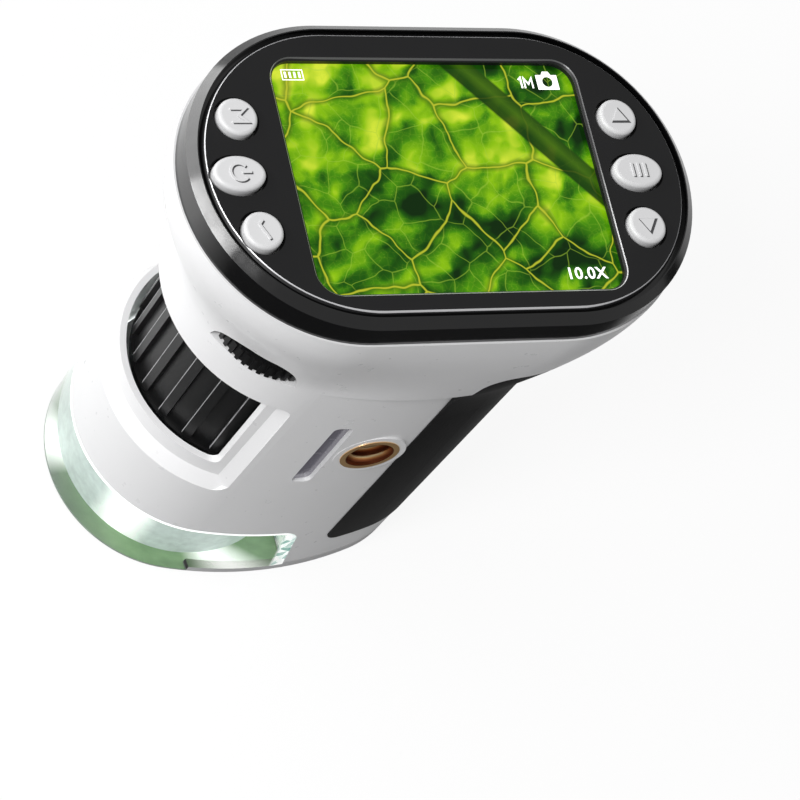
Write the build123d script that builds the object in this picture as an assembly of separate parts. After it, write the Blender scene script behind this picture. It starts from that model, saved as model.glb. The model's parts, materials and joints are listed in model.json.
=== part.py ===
from build123d import *
import math
import os

# Handheld LCD microscope, standing on its lighting hood.
# Frame: +Z up, the face with the screen on top. The origin lies on the table,
# below the middle of the head. -X is the end with the lens and focus wheel,
# +X the end with the rubber grip, -Y the side with the tripod socket.
# All lengths are millimetres.

os.makedirs("parts", exist_ok=True)

# ---------------------------------------------------------------- driving sizes
# Head, seen from above a stadium
FACE_Z = 81.3            # face above the table
HEAD_HALF_SPAN = 13.0    # middle to the centre of each round end
PLATE_T = 1.0
PLATE_EDGE = 0.35        # diamond-cut chamfer round the plate and its window
GROOVE_W = 0.5           # shadow gap between plate and bezel
BEZEL_R = 21.0           # end radius of the bezel
BEZEL_RIM = 1.75         # bezel's rim round the face plate
BEZEL_H = 4.9
BEZEL_CHAMFER = 1.1
BEZEL_WALL = 1.4
BEZEL_LEDGE_H = 1.0      # ledge over the tongue
BEZEL_FLOOR_T = 1.2
TONGUE_T = 1.0           # bezel's tongue inside the head shell
TONGUE_GAP = 0.15
TONGUE_H = 1.7
LIP = 0.25               # head shell stands proud of the bezel

# Screen
WINDOW_SIDE_IN = 11.45   # window's edges, in from the plate's
WINDOW_TOP_IN = 3.75
WINDOW_LOW_IN = 2.75
WINDOW_CORNER = 3.0
LCD_SIDE_HIDDEN = 0.5    # display's border behind the window's edge
LCD_END_HIDDEN = 0.7
LCD_T = 1.8
BACKLIGHT_T = 1.7
BACKLIGHT_INSET = 0.5
BACKLIGHT_CORNER = 1.2
LCD_GAP = 0.15

# Keys
KEY_R = 2.55
KEY_LONG = 3.4           # middle keys, half length along X
KEY_WIDE = 2.4           # middle keys, half width along Y
LEFT_KEYS_IN = 3.45      # key centres, in from the plate's round ends ...
LEFT_MIDDLE_IN = 4.05
RIGHT_KEYS_IN = 4.82
RIGHT_MIDDLE_IN = 6.25
LEFT_KEYS_ANGLE = 29.2   # ... and degrees to either side of the middle keys
RIGHT_KEYS_ANGLE = 32.3
KEY_PROUD = 0.8
KEY_ROUND = 0.5
KEY_TRAVEL = 0.5
KEY_PLATE_GAP = 0.4
KEY_GUIDE_GAP = 0.15
KEY_FLANGE = 0.6
KEY_FLANGE_T = 0.65
KEY_STEM_R = 1.0
SWITCH_SIDE = 3.4
SWITCH_H = 1.4
SWITCH_WELL_R = 1.25

# Main board
BOARD_T = 1.2
BOARD_EDGE_GAP = 0.4     # to the bezel's tongue
BOARD_DROP = 5.8         # face to the board's top
BOARD_HOLES = [          # centre x, direction in degrees, distance in from the board's edge
    (-0.6, 90.0, 3.25),
    (-1.0, -90.0, 3.05),
    (HEAD_HALF_SPAN, 51.3, 5.25),
    (14.0, -90.0, 4.05),
]
POST_HOLE_DEPTH = 6.0
CHIPS = [                # centre x and y, length, width and height of the chips below
    (0.0, -4.5, 12.0, 11.0, 1.2),
    (-16.0, 3.0, 8.0, 10.0, 1.0),
    (15.5, -6.0, 5.0, 5.0, 1.0),
]

# Head shell
WALL = 1.6
SEAM_Z = 56.8            # joint between head and body
SEAM_LEFT_X = -9.3
SEAM_LEFT_R = 18.3
SEAM_RIGHT_X = 8.8
SEAM_RIGHT_R = 18.9
SEAM_SIDE_R = 70.0       # gentle curve of the long sides at the seam ...
HEAD_SIDE_R = 2000.0     # ... and nearly straight sides at the bezel
SKIRT_HOLD = 2.0         # how long the wall over the lens end stays upright
BOWL_BEND = 3.1          # how early it has spread to the bezel
NOTCH_X = 9.2            # the rubber grip climbs the head's right end
NOTCH_TOP_Z = 63.9
NOTCH_ROUND = 4.5

# Body
AXIS_X = -9.1            # optical axis, and centre of the lens end
LENS_END_R = 17.55
LENS_END_SWELL = 0.75    # growth of the lens end from table to seam
HANDLE_X = 10.4          # centre of the handle's round end
HANDLE_R = 16.65
HANDLE_SWELL = 0.45      # growth of the handle's end from table to seam
BODY_SIDE_R = 55.0       # gentle curve of the long sides at the table ...
BODY_TOP_SIDE_R = 65.0   # ... and at the seam
LENS_WALL = 2.3
DECK_T = 3.0
CAP_T = 2.0              # base cap
CAP_EDGE = 0.3           # bright line where cap and body meet

# Grip
GRIP_X = 7.8             # straight front edge
GRIP_T = 1.3
GRIP_PROUD = 0.15
GRIP_LOW_Z = 8.3
GRIP_CORNER = 2.5
GRIP_FLARE_Z = 47.6      # where it starts to spread under the head

# Focus wheel and its window
WHEEL_LOW_Z = 28.0
WHEEL_TOP_Z = 51.6
WHEEL_GAP = 0.45         # rib tips to the wall
RIB_H = 0.7
WHEEL_LIP = 0.4          # flange at the drum's lower edge
WHEEL_LIP_H = 1.2
RIB_COUNT = 22
RIB_W = 1.4
RIB_PHASE = -1.2         # degrees, first rib from the +X direction
RIB_LOW_Z = 30.0
OPENING_X = -15.4        # right edge of the opening in the body's wall
OPENING_LOW_Z = 30.3
OPENING_TOP_Z = 51.0
OPENING_ROUND = 1.2
RECESS_DEPTH = 1.4       # sunk field round the opening
RECESS_X = -13.2         # its outline on the surface
RECESS_LOW_Z = 25.6
RECESS_ROUND = 2.5
RECESS_TOP_ROUND = 1.5
RECESS_RISE = 2.0        # height of the bevel below
RECESS_RUN = 1.05        # width of the bevel at the side
RECESS_EASE = 0.05       # keeps the rounding of its corners off the bevels' edges
FOCUS_TURN = 270.0       # degrees, stop to stop
FOCUS_TRAVEL = 9.0       # lens travel over that turn

# Guide tube and lens carrier
RUN_GAP = 0.05
TUBE_OUT_R = 10.6
TUBE_WALL = 1.0
TUBE_LOW_Z = 20.0
TUBE_FLANGE_W = 2.6      # flange and its screws, out from the tube
TUBE_FLANGE_T = 1.8
TUBE_SCREW_OUT = 1.2
TUBE_SCREW_SHARE = 0.8   # of the size of the other screws
TUBE_SHELF_T = 1.0
SENSOR_HOLE_R = 6.5
SENSOR_ROOM_R = 10.5     # opening in the deck round the sensor board
CLIP_T = 0.8
CLIP_DEPTH = 0.6
CLIP_STAND = 1.6         # clip's edge, out from the tube
CLIP_PLAY = 0.3          # clip to the wheel
CLIP_OPEN = 5.0          # gap in the clip
PIN_R = 1.0
PIN_Z = 40.0
PIN_GAP = 0.3            # pin to the slot and cam groove
PIN_SEAT = 3.0           # pin's length inside the carrier
PIN_REACH = 1.5          # pin's end, out from the tube
PIN_SLOT_SPARE = 1.0     # slot's length past the travel
CAM_DEPTH = 1.9          # groove's floor, out from the tube
CAM_SPARE = 30.0         # degrees of groove past the focus turn
CAM_OVERCUT = 0.8        # groove's cut starts this far inside the bore
CARRIER_LOW_Z = 22.5
CARRIER_TOP_Z = 45.0
CARRIER_BORE_R = 6.5
NOSE_R = 7.6
NOSE_LOW_Z = 18.0
NOSE_WALL = 1.2
SEAT_W = 1.0             # lens seats
LENS_T = 2.5
LENS_SAG = 0.8
RELAY_T = 1.7
RELAY_DEPTH = 2.0
RETAINER_T = 1.0
RETAINER_W = 1.4
SENSOR_BOARD_SIDE = 14.0
SENSOR_BOARD_T = 1.0
SENSOR_SIDE = 7.2
SENSOR_T = 1.2
RIBBON_W = 6.0
RIBBON_T = 0.3
RIBBON_START = 4.0       # ribbon's bends, along X from the optical axis
RIBBON_BULGE = 7.5
RIBBON_RETURN = -1.0
RIBBON_END = 1.0
RIBBON_BULGE_SHARE = 0.4   # ... and their heights, as shares of its rise
RIBBON_RETURN_SHARE = 0.7

# Lighting hood
HOOD_TOP_Z = 13.1
HOOD_END_LOW_X = 4.6     # the hood's end leans: at the table ...
HOOD_END_TOP_X = 2.4     # ... and at the top
HOOD_CORNER = 3.0
HOOD_NECK_H = 2.0        # the hood's cup goes on inside the body
HOOD_MOUTH_R = 13.0      # cone inside the hood, at the table ...
HOOD_THROAT_R = 13.8     # ... and at the top
RIM_END_X = -9.6         # cap's rim runs on under the hood to here
RIM_W = 2.2
RIM_H = 1.2
LED_HOLDER_T = 0.9
LED_HOLDER_IN_R = 9.5
LED_BOARD_IN_R = 9.8
LED_BOARD_T = 1.0
LED_COUNT = 8
LED_SIDE = 1.8
LED_H = 0.9
LED_RING_R = 11.8
SLIP = 0.1               # assembly gap between fixed pieces

# Dimmer
DIMMER_ANGLE = -128.5    # degrees round the optical axis
DIMMER_R = 8.5
DIMMER_T = 2.4
DIMMER_PROUD = 0.35
DIMMER_LIFT = 0.8        # above the deck
DIMMER_PLAY = 0.5        # below the potentiometer
DIMMER_FLOOR_GAP = 0.35  # above the floor of its pocket
DIMMER_GAP = 0.8
DIMMER_SLOT_TOP_Z = 62.4
DIMMER_TEETH = 48
DIMMER_TOOTH = 0.35
DIMMER_TOOTH_ROOT = 2.0  # tooth's length into the wheel
DIMMER_SHAFT_R = 1.5
POT_SIDE = 9.0
POT_H = 4.4
POT_LEG = 1.5
POT_ARM_T = 1.2

# Tripod insert
TRIPOD_X = 2.2
TRIPOD_Z = 38.9
TRIPOD_THREAD_R = 3.175  # 1/4 inch
TRIPOD_WALL = 0.5
TRIPOD_FLANGE_R = 4.0
TRIPOD_FLANGE_T = 0.7
TRIPOD_DEPTH = 4.6
TRIPOD_PAD_R = 4.9
TRIPOD_PAD_PROUD = 0.2
TRIPOD_PROUD = 0.3       # insert's face in front of the body's side

# Status light window
STATUS_X = -4.6
STATUS_Z = 39.0
STATUS_W = 2.7
STATUS_H = 16.4
STATUS_CORNER = 0.9
STATUS_RECESS = 0.6

# Battery
CELL_R = 7.1
CELL_H = 43.0
CELL_X = 14.8
CELL_LOW_Z = 4.5
CELL_EDGE = 0.4
CELL_BUTTON_R = 2.7
CELL_BUTTON_H = 0.8
CRADLE_T = 1.0
CRADLE_SHARE = 0.8       # cradle's height by the cell's
CRADLE_FLOOR_T = 1.5
CRADLE_OPEN_X = 1.5      # cradle's open side, from the cell's axis

# Ports
PORT_X = -8.0
PORT_ROOM = 3.0          # its mouth's depth through and behind the head's wall
PORT_SHELL_W = 8.94
PORT_SHELL_H = 3.26
PORT_MOUTH_W = 8.34
PORT_MOUTH_H = 2.56
PORT_LONG = 7.4
PORT_INSET = 0.9         # mouth, in from the head's wall
PORT_BACK_T = 1.0
PORT_TONGUE_W = 6.6
PORT_TONGUE_T = 0.7
PORT_TONGUE_INSET = 0.8
CARD_X = 9.0
CARD_W = 11.6
CARD_H = 1.3
CARD_SOCKET_W = 13.6
CARD_SOCKET_H = 1.9
CARD_LONG = 14.6
CARD_INSET = 0.6         # socket, in from the inside of the head's wall
CARD_BACK_T = 1.5

# Screws
SCREW_R = 1.0
SCREW_HEAD_R = 1.8
SCREW_HEAD_T = 1.0
SCREW_SKIN = 0.4         # left below a blind screw hole
SCREW_SPARE = 0.6        # blind hole's length past its screw and skin
BOARD_SCREW_BITE = 4.5   # screw lengths in the post and in the boss
BASE_SCREW_BITE = 4.0
BASE_HOLE_DEPTH = 5.0
BOSS_R = 2.4

# ---------------------------------------------------------------- worked-out levels
PLATE_LOW_Z = FACE_Z - PLATE_T
BEZEL_LOW_Z = FACE_Z - BEZEL_H
BEZEL_FLOOR_Z = PLATE_LOW_Z - BEZEL_FLOOR_T
PLATE_R = BEZEL_R - BEZEL_RIM
FACE_SHIFT_Y = (WINDOW_LOW_IN - WINDOW_TOP_IN) / 2  # window and keys sit a little low
WINDOW_X = 2 * (HEAD_HALF_SPAN + PLATE_R - WINDOW_SIDE_IN)
WINDOW_Y = 2 * PLATE_R - WINDOW_TOP_IN - WINDOW_LOW_IN
LCD_X = WINDOW_X + 2 * LCD_SIDE_HIDDEN
LCD_Y = WINDOW_Y + 2 * LCD_END_HIDDEN
BEZEL_IN_R = BEZEL_R - BEZEL_WALL
LIP_R = BEZEL_R + LIP
LCD_TOP_Z = PLATE_LOW_Z - LCD_GAP
LCD_LOW_Z = LCD_TOP_Z - LCD_T
BACKLIGHT_LOW_Z = LCD_LOW_Z - BACKLIGHT_T
BOARD_TOP_Z = FACE_Z - BOARD_DROP
BOARD_LOW_Z = BOARD_TOP_Z - BOARD_T
TONGUE_R = BEZEL_IN_R - TONGUE_GAP
BOARD_R = TONGUE_R - TONGUE_T - BOARD_EDGE_GAP
FLOOR_TOP_Z = SEAM_Z + WALL
DECK_LOW_Z = SEAM_Z - DECK_T
TUBE_TOP_Z = DECK_LOW_Z
TUBE_FLANGE_Z = TUBE_TOP_Z - TUBE_FLANGE_T
TUBE_IN_R = TUBE_OUT_R - TUBE_WALL
TUBE_FLANGE_R = TUBE_OUT_R + TUBE_FLANGE_W
TUBE_SCREW_R = TUBE_OUT_R + TUBE_SCREW_OUT
CLIP_OUT_R = TUBE_OUT_R + CLIP_STAND
CLIP_LOW_Z = WHEEL_LOW_Z - CLIP_T - CLIP_PLAY
LENS_R = NOSE_R - NOSE_WALL
WHEEL_BORE_R = TUBE_OUT_R + RUN_GAP
LENS_ROOM_R = LENS_END_R - LENS_WALL
WHEEL_RIB_R = LENS_ROOM_R - WHEEL_GAP
WHEEL_DRUM_R = WHEEL_RIB_R - RIB_H
WHEEL_LIP_R = WHEEL_DRUM_R + WHEEL_LIP
CUP_R = LENS_ROOM_R - SLIP
CUP_TOP_Z = HOOD_TOP_Z + HOOD_NECK_H
LED_BOARD_Z = CUP_TOP_Z - LED_BOARD_T
TRIPOD_BARREL_R = TRIPOD_THREAD_R + TRIPOD_WALL
FAR = 60.0               # reaches past the object on every side


def around(x, radius, degrees):
    """Point at a distance and direction from (x, 0), as (x, y)."""
    turn = math.radians(degrees)
    return x + radius * math.cos(turn), radius * math.sin(turn)


def key_place(side, inset, degrees):
    """Centre of a key round the plate's left (-1) or right (1) end, as (x, y)."""
    x, y = around(HEAD_HALF_SPAN, PLATE_R - inset, degrees)
    return side * x, y + FACE_SHIFT_Y


# each key's centre, and whether it is an oval one
KEYS = {
    "key_mode": (key_place(-1, LEFT_KEYS_IN, LEFT_KEYS_ANGLE), False),
    "key_power": (key_place(-1, LEFT_MIDDLE_IN, 0.0), True),
    "key_ok": (key_place(-1, LEFT_KEYS_IN, -LEFT_KEYS_ANGLE), False),
    "key_up": (key_place(1, RIGHT_KEYS_IN, RIGHT_KEYS_ANGLE), False),
    "key_menu": (key_place(1, RIGHT_MIDDLE_IN, 0.0), True),
    "key_down": (key_place(1, RIGHT_KEYS_IN, -RIGHT_KEYS_ANGLE), False),
}
BOARD_SCREWS = [around(x, BOARD_R - inset, turn) for x, turn, inset in BOARD_HOLES]
SEAM_SCREWS = [(3.2, 12.0), (3.2, -12.0)]
NECK_SCREWS = [(18.0, 5.5), (18.0, -5.5)]
WIRE_HOLE = (14.0, 0.0, 3.0)  # x, y and radius of the passage from handle to head
BASE_SCREWS = [(20.5, 9.5), (20.5, -9.5), (9.0, 13.8), (9.0, -13.8)]
TUBE_SCREW_ANGLES = [60.0, 180.0, 300.0]


# ---------------------------------------------------------------- shape helpers
def side_centre(left_x, left_r, right_x, right_r, side_r):
    """Centre of the arc that touches both end circles on the front side."""
    span = right_x - left_x
    left_gap = side_r - left_r
    right_gap = side_r - right_r
    along = (left_gap ** 2 - right_gap ** 2 + span ** 2) / (2 * span)
    return left_x + along, math.sqrt(left_gap ** 2 - along ** 2)


def oval(z, left_x, left_r, right_x, right_r, side_r):
    """Face at height z round two circles on the X axis, with bulging sides."""
    sx, sy = side_centre(left_x, left_r, right_x, right_r, side_r)

    def touch(x):
        reach = side_r / math.hypot(x - sx, sy)
        return sx + (x - sx) * reach, sy - sy * reach

    left_x1, left_y1 = touch(left_x)
    right_x1, right_y1 = touch(right_x)
    front_left, back_left = (left_x1, left_y1), (left_x1, -left_y1)
    front_right, back_right = (right_x1, right_y1), (right_x1, -right_y1)
    outline = Wire([
        ThreePointArc(back_left, (sx, side_r - sy), back_right).edge(),
        ThreePointArc(back_right, (right_x + right_r, 0), front_right).edge(),
        ThreePointArc(front_right, (sx, sy - side_r), front_left).edge(),
        ThreePointArc(front_left, (left_x - left_r, 0), back_left).edge(),
    ])
    return Pos(0, 0, z) * Face(outline)


def stadium(radius, low_z, high_z):
    """Upright prism on the head's plan, with ends of the given radius."""
    outline = Pos(0, 0, low_z) * SlotCenterToCenter(2 * HEAD_HALF_SPAN, 2 * radius)
    return extrude(outline, high_z - low_z)


def rod(x, y, radius, low_z, high_z):
    """Upright cylinder between two heights."""
    return Pos(x, y, (low_z + high_z) / 2) * Cylinder(radius, high_z - low_z)


def tube(x, y, outer, inner, low_z, high_z):
    """Upright tube between two heights."""
    return rod(x, y, outer, low_z, high_z) - rod(x, y, inner, low_z, high_z)


def block(x0, x1, y0, y1, z0, z1):
    """Box between two corners."""
    middle = Pos((x0 + x1) / 2, (y0 + y1) / 2, (z0 + z1) / 2)
    return middle * Box(x1 - x0, y1 - y0, z1 - z0)


def body_values(z):
    """Circle centres, radii and side radius of the body's outline at height z."""
    share = z / SEAM_Z
    left_r = LENS_END_R + LENS_END_SWELL * share
    right_r = HANDLE_R + HANDLE_SWELL * share
    side_r = BODY_SIDE_R + (BODY_TOP_SIDE_R - BODY_SIDE_R) * share
    return AXIS_X, left_r, HANDLE_X, right_r, side_r


def inset_oval(z, values, inset):
    """Face on an outline's values, moved inwards all round."""
    left_x, left_r, right_x, right_r, side_r = values
    return oval(z, left_x, left_r - inset, right_x, right_r - inset, side_r - inset)


def body_front(x, z, inset=0.0):
    """Y of the body's front side at x, between its round ends."""
    values = body_values(z)
    sx, sy = side_centre(*values)
    return sy - math.sqrt((values[-1] - inset) ** 2 - (x - sx) ** 2)


def head_values(z):
    """Circle centres, radii and side radius of the head's outline at height z."""
    rise = (z - SEAM_Z) / (BEZEL_LOW_Z - SEAM_Z)
    swell = math.sin(rise * math.pi / 2)
    left_swell = 1 - (1 - rise ** SKIRT_HOLD) ** BOWL_BEND
    side_curve = (1 - swell) / SEAM_SIDE_R + swell / HEAD_SIDE_R
    return (
        SEAM_LEFT_X + (-HEAD_HALF_SPAN - SEAM_LEFT_X) * left_swell,
        SEAM_LEFT_R + (LIP_R - SEAM_LEFT_R) * left_swell,
        SEAM_RIGHT_X + (HEAD_HALF_SPAN - SEAM_RIGHT_X) * swell,
        SEAM_RIGHT_R + (LIP_R - SEAM_RIGHT_R) * swell,
        1 / side_curve,
    )


def head_hull(inset=0.0):
    """Bowl of the head, from the seam up to the bezel."""
    sections = []
    for step in range(7):
        z = SEAM_Z + (BEZEL_LOW_Z - SEAM_Z) * step / 6
        sections.append(inset_oval(z, head_values(z), inset))
    return loft(sections)


def body_hull(inset=0.0):
    """Body from the table up to the seam."""
    foot = inset_oval(0, body_values(0), inset)
    top = inset_oval(SEAM_Z, body_values(SEAM_Z), inset)
    return loft([foot, top], ruled=True)


def grip_hull(inset=0.0):
    """Handle with the grip on: plain below, spreading to meet the head above."""
    depth = inset - GRIP_PROUD
    foot = inset_oval(0, body_values(0), depth)
    sections = []
    for share in (0.0, 0.5, 1.0):
        z = GRIP_FLARE_Z + (SEAM_Z - GRIP_FLARE_Z) * share
        spread = share ** 2
        pairs = zip(body_values(z), head_values(SEAM_Z))
        values = [low + (high - low) * spread for low, high in pairs]
        sections.append(inset_oval(z, values, depth + GRIP_PROUD * spread))
    plain = loft([foot, sections[0]], ruled=True)
    return plain + loft(sections) + (head_hull(inset) & notch_region())


def along_y(outline):
    """Prism right through the object along Y, from an outline of (x, z) points."""
    wire = Polyline([(x, 0, z) for x, z in outline], close=True)
    face = Face(Wire(wire.edges()))
    return extrude(face, FAR, dir=(0, 1, 0), both=True)


def upright_edges(shape, x, z, reach=0.01):
    """Edges along Y of a prism from along_y, at the given x and z."""
    chosen = []
    for edge in shape.edges().filter_by(Axis.Y):
        middle = edge.center()
        if abs(middle.X - x) < reach and abs(middle.Z - z) < reach:
            chosen.append(edge)
    return chosen


def notch_region(gap=0.0):
    """Right end of the head's lower rim, where grip rubber replaces the shell."""
    left = NOTCH_X - gap
    top = NOTCH_TOP_Z + gap
    prism = along_y([(left, SEAM_Z - 1), (left, top), (FAR, top), (FAR, SEAM_Z - 1)])
    return fillet(upright_edges(prism, left, top), NOTCH_ROUND)


def grip_region():
    """Everything behind the grip's outline, as seen from the side."""
    prism = along_y([(GRIP_X, GRIP_LOW_Z), (GRIP_X, SEAM_Z), (FAR, SEAM_Z), (FAR, GRIP_LOW_Z)])
    prism = fillet(upright_edges(prism, GRIP_X, GRIP_LOW_Z), GRIP_CORNER)
    return prism + notch_region()


def hood_region():
    """Lower left corner of the body, where the clear hood replaces the shell."""
    lean = (HOOD_END_TOP_X - HOOD_END_LOW_X) / HOOD_TOP_Z
    prism = along_y([
        (-FAR, -1),
        (-FAR, HOOD_TOP_Z),
        (HOOD_END_TOP_X, HOOD_TOP_Z),
        (HOOD_END_LOW_X - lean, -1),
    ])
    return fillet(upright_edges(prism, HOOD_END_TOP_X, HOOD_TOP_Z), HOOD_CORNER)


def polar(radius, degrees):
    """Point at an angle round the optical axis, as (x, y)."""
    return around(AXIS_X, radius, degrees)


# ---------------------------------------------------------------- head pieces
def window_prism(grow, low_z, high_z):
    """Prism through the screen window."""
    outline = RectangleRounded(WINDOW_X + 2 * grow, WINDOW_Y + 2 * grow, WINDOW_CORNER + grow)
    return extrude(Pos(0, FACE_SHIFT_Y, low_z) * outline, high_z - low_z)


def key_prism(name, grow, low_z, high_z):
    """Prism on one key's plan, round or oval."""
    (x, y), is_oval = KEYS[name]
    if is_oval:
        outline = Ellipse(KEY_LONG + grow, KEY_WIDE + grow)
    else:
        outline = Circle(KEY_R + grow)
    return extrude(Pos(x, y, low_z) * outline, high_z - low_z)


def make_face_plate():
    """Dark plate with bright diamond-cut edges, the window and six key holes."""
    plate = stadium(PLATE_R, PLATE_LOW_Z, FACE_Z)
    plate -= window_prism(0, PLATE_LOW_Z - 1, FACE_Z + 1)
    top = plate.faces().sort_by(Axis.Z)[-1]
    plate = chamfer(top.edges(), PLATE_EDGE)
    for name in KEYS:
        plate -= key_prism(name, KEY_PLATE_GAP, PLATE_LOW_Z - 1, FACE_Z + 1)
    return plate


def lcd_block(gap, low_z, high_z):
    """Box on the display module's plan."""
    half_x = LCD_X / 2 + gap
    half_y = LCD_Y / 2 + gap
    return block(-half_x, half_x, FACE_SHIFT_Y - half_y, FACE_SHIFT_Y + half_y, low_z, high_z)


def make_bezel():
    """Gloss bezel: a tray for the plate, with a tongue that plugs into the head."""
    ring = stadium(BEZEL_R, BEZEL_LOW_Z, FACE_Z)
    rim = ring.faces().sort_by(Axis.Z)[-1]
    ring = chamfer(rim.edges(), BEZEL_CHAMFER)
    ring -= stadium(PLATE_R + GROOVE_W, PLATE_LOW_Z, FACE_Z + 1)
    ring -= stadium(BEZEL_IN_R, BEZEL_LOW_Z + BEZEL_LEDGE_H, BEZEL_FLOOR_Z)
    ring += stadium(TONGUE_R, BEZEL_LOW_Z - TONGUE_H, BEZEL_LOW_Z)
    ring -= stadium(TONGUE_R - TONGUE_T, BEZEL_LOW_Z - TONGUE_H, BEZEL_FLOOR_Z)
    ring -= lcd_block(SLIP, BEZEL_FLOOR_Z - 1, FACE_Z)
    for name in KEYS:
        ring -= key_prism(name, KEY_GUIDE_GAP, BEZEL_FLOOR_Z - 1, FACE_Z)
    return ring


def make_lcd_panel():
    """Glass display cell under the window."""
    return lcd_block(0, LCD_LOW_Z, LCD_TOP_Z)


def make_lcd_backlight():
    """Backlight tray behind the display cell, with its ribbon tail."""
    tray = lcd_block(-BACKLIGHT_INSET, BACKLIGHT_LOW_Z, LCD_LOW_Z)
    return chamfer(tray.edges().filter_by(Axis.Z), BACKLIGHT_CORNER)


def make_key(name):
    """Key cap with a retaining flange and the stem that works its switch."""
    top_z = FACE_Z + KEY_PROUD
    flange_top = BEZEL_FLOOR_Z - SLIP
    cap = key_prism(name, 0, flange_top - KEY_FLANGE_T, top_z)
    cap = fillet(cap.faces().sort_by(Axis.Z)[-1].edges(), KEY_ROUND)
    flange = key_prism(name, KEY_FLANGE, flange_top - KEY_FLANGE_T, flange_top)
    (x, y), _ = KEYS[name]
    stem_low = BOARD_TOP_Z + SWITCH_H - SLIP
    stem = rod(x, y, KEY_STEM_R, stem_low, flange_top - KEY_FLANGE_T)
    return cap + flange + stem


def make_key_switches():
    """Six tactile switches on the board, each with a well for a key's stem."""
    switches = []
    half = SWITCH_SIDE / 2
    for (x, y), _ in KEYS.values():
        body = block(x - half, x + half, y - half, y + half, BOARD_TOP_Z, BOARD_TOP_Z + SWITCH_H)
        well_low = BOARD_TOP_Z + SWITCH_H - SLIP - 2 * KEY_TRAVEL
        body -= rod(x, y, SWITCH_WELL_R, well_low, BOARD_TOP_Z + SWITCH_H + 1)
        switches.append(body.solid())
    return Compound(switches)


def make_main_board():
    """Main circuit board on four posts."""
    board = stadium(BOARD_R, BOARD_LOW_Z, BOARD_TOP_Z)
    for x, y in BOARD_SCREWS:
        board -= rod(x, y, SCREW_R, BOARD_LOW_Z - 1, BOARD_TOP_Z + 1)
    return board


def make_board_chips():
    """Processor, memory and power chips under the main board."""
    chips = []
    for x, y, length, width, height in CHIPS:
        chip = Pos(x, y, BOARD_LOW_Z - height / 2) * Box(length, width, height)
        chips.append(chip.solid())
    return Compound(chips)


def wire_passage():
    """Hole for the battery leads, from the handle's neck into the head."""
    x, y, radius = WIRE_HOLE
    return rod(x, y, radius, NOTCH_TOP_Z - DECK_T - 1, NOTCH_TOP_Z + WALL + 1)


def dimmer_centre():
    """Axis of the dimmer wheel, set so that its rim stands proud of the head's wall."""
    wall_x, wall_r, _, _, _ = head_values(SEAM_Z + DIMMER_LIFT + DIMMER_T / 2)
    x, y = polar(wall_r + DIMMER_PROUD - DIMMER_R, DIMMER_ANGLE)
    return x + wall_x - AXIS_X, y


def wall_at(z):
    """Reach of the head's back side at height z."""
    _, left_r, _, right_r, _ = head_values(z)
    return min(left_r, right_r)


def port_mouth(grow, y0, y1):
    """Rounded slot for the charging plug, along Y."""
    z = BOARD_LOW_Z - PORT_SHELL_H / 2
    height = PORT_SHELL_H + 2 * grow
    width = PORT_SHELL_W + 2 * grow
    outline = SlotOverall(width, height)
    face = Plane(origin=(PORT_X, y0, z), x_dir=(1, 0, 0), z_dir=(0, 1, 0)) * outline
    return extrude(face, y1 - y0, dir=(0, 1, 0))


def make_head_shell():
    """White bowl of the head, with posts, dimmer slot, port openings and grip notch."""
    solid = head_hull() - notch_region()
    hollow = head_hull(WALL) - notch_region(WALL)
    hollow &= block(-FAR, FAR, -FAR, FAR, FLOOR_TOP_Z, FAR * 2)
    inside = head_hull(WALL) - notch_region()
    shell = solid - hollow
    # posts for the main board
    for x, y in BOARD_SCREWS:
        post = rod(x, y, BOSS_R, SEAM_Z, BOARD_LOW_Z) & inside
        shell += post
        shell -= rod(x, y, SCREW_R, BOARD_LOW_Z - POST_HOLE_DEPTH, BOARD_LOW_Z + 1)
    # round opening over the sensor board
    shell -= rod(AXIS_X, 0, SENSOR_ROOM_R, SEAM_Z - 1, FLOOR_TOP_Z + 1)
    # pocket and slot for the dimmer wheel
    x, y = dimmer_centre()
    pocket_z = SEAM_Z + DIMMER_LIFT - DIMMER_FLOOR_GAP
    shell -= rod(x, y, DIMMER_R + DIMMER_GAP, pocket_z, DIMMER_SLOT_TOP_Z)
    # screws into the body
    for x, y in SEAM_SCREWS:
        shell -= rod(x, y, SCREW_R, SEAM_Z - 1, FLOOR_TOP_Z + 1)
    for x, y in NECK_SCREWS:
        shell -= rod(x, y, SCREW_R, NOTCH_TOP_Z - 1, NOTCH_TOP_Z + WALL + 1)
    shell -= wire_passage()
    # openings for the charging port and the memory card
    shell -= port_mouth(SLIP, wall_at(BOARD_LOW_Z) - WALL - PORT_ROOM, FAR)
    card_z = BOARD_LOW_Z - CARD_SOCKET_H / 2
    shell -= block(CARD_X - CARD_W / 2, CARD_X + CARD_W / 2, 0, FAR,
                   card_z - CARD_H / 2, card_z + CARD_H / 2)
    return shell


def make_usb_port():
    """Metal shell of the charging socket with its contact tongue."""
    mouth_y = wall_at(BOARD_LOW_Z) - PORT_INSET
    back_y = mouth_y - PORT_LONG
    shell = port_mouth(0, back_y, mouth_y)
    z = BOARD_LOW_Z - PORT_SHELL_H / 2
    floor = Plane(origin=(PORT_X, back_y + PORT_BACK_T, z), x_dir=(1, 0, 0), z_dir=(0, 1, 0))
    cavity = floor * SlotOverall(PORT_MOUTH_W, PORT_MOUTH_H)
    shell -= extrude(cavity, PORT_LONG, dir=(0, 1, 0))
    half_w = PORT_TONGUE_W / 2
    half_t = PORT_TONGUE_T / 2
    tongue = block(PORT_X - half_w, PORT_X + half_w, back_y + PORT_BACK_T / 2,
                   mouth_y - PORT_TONGUE_INSET, z - half_t, z + half_t)
    return shell + tongue


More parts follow.
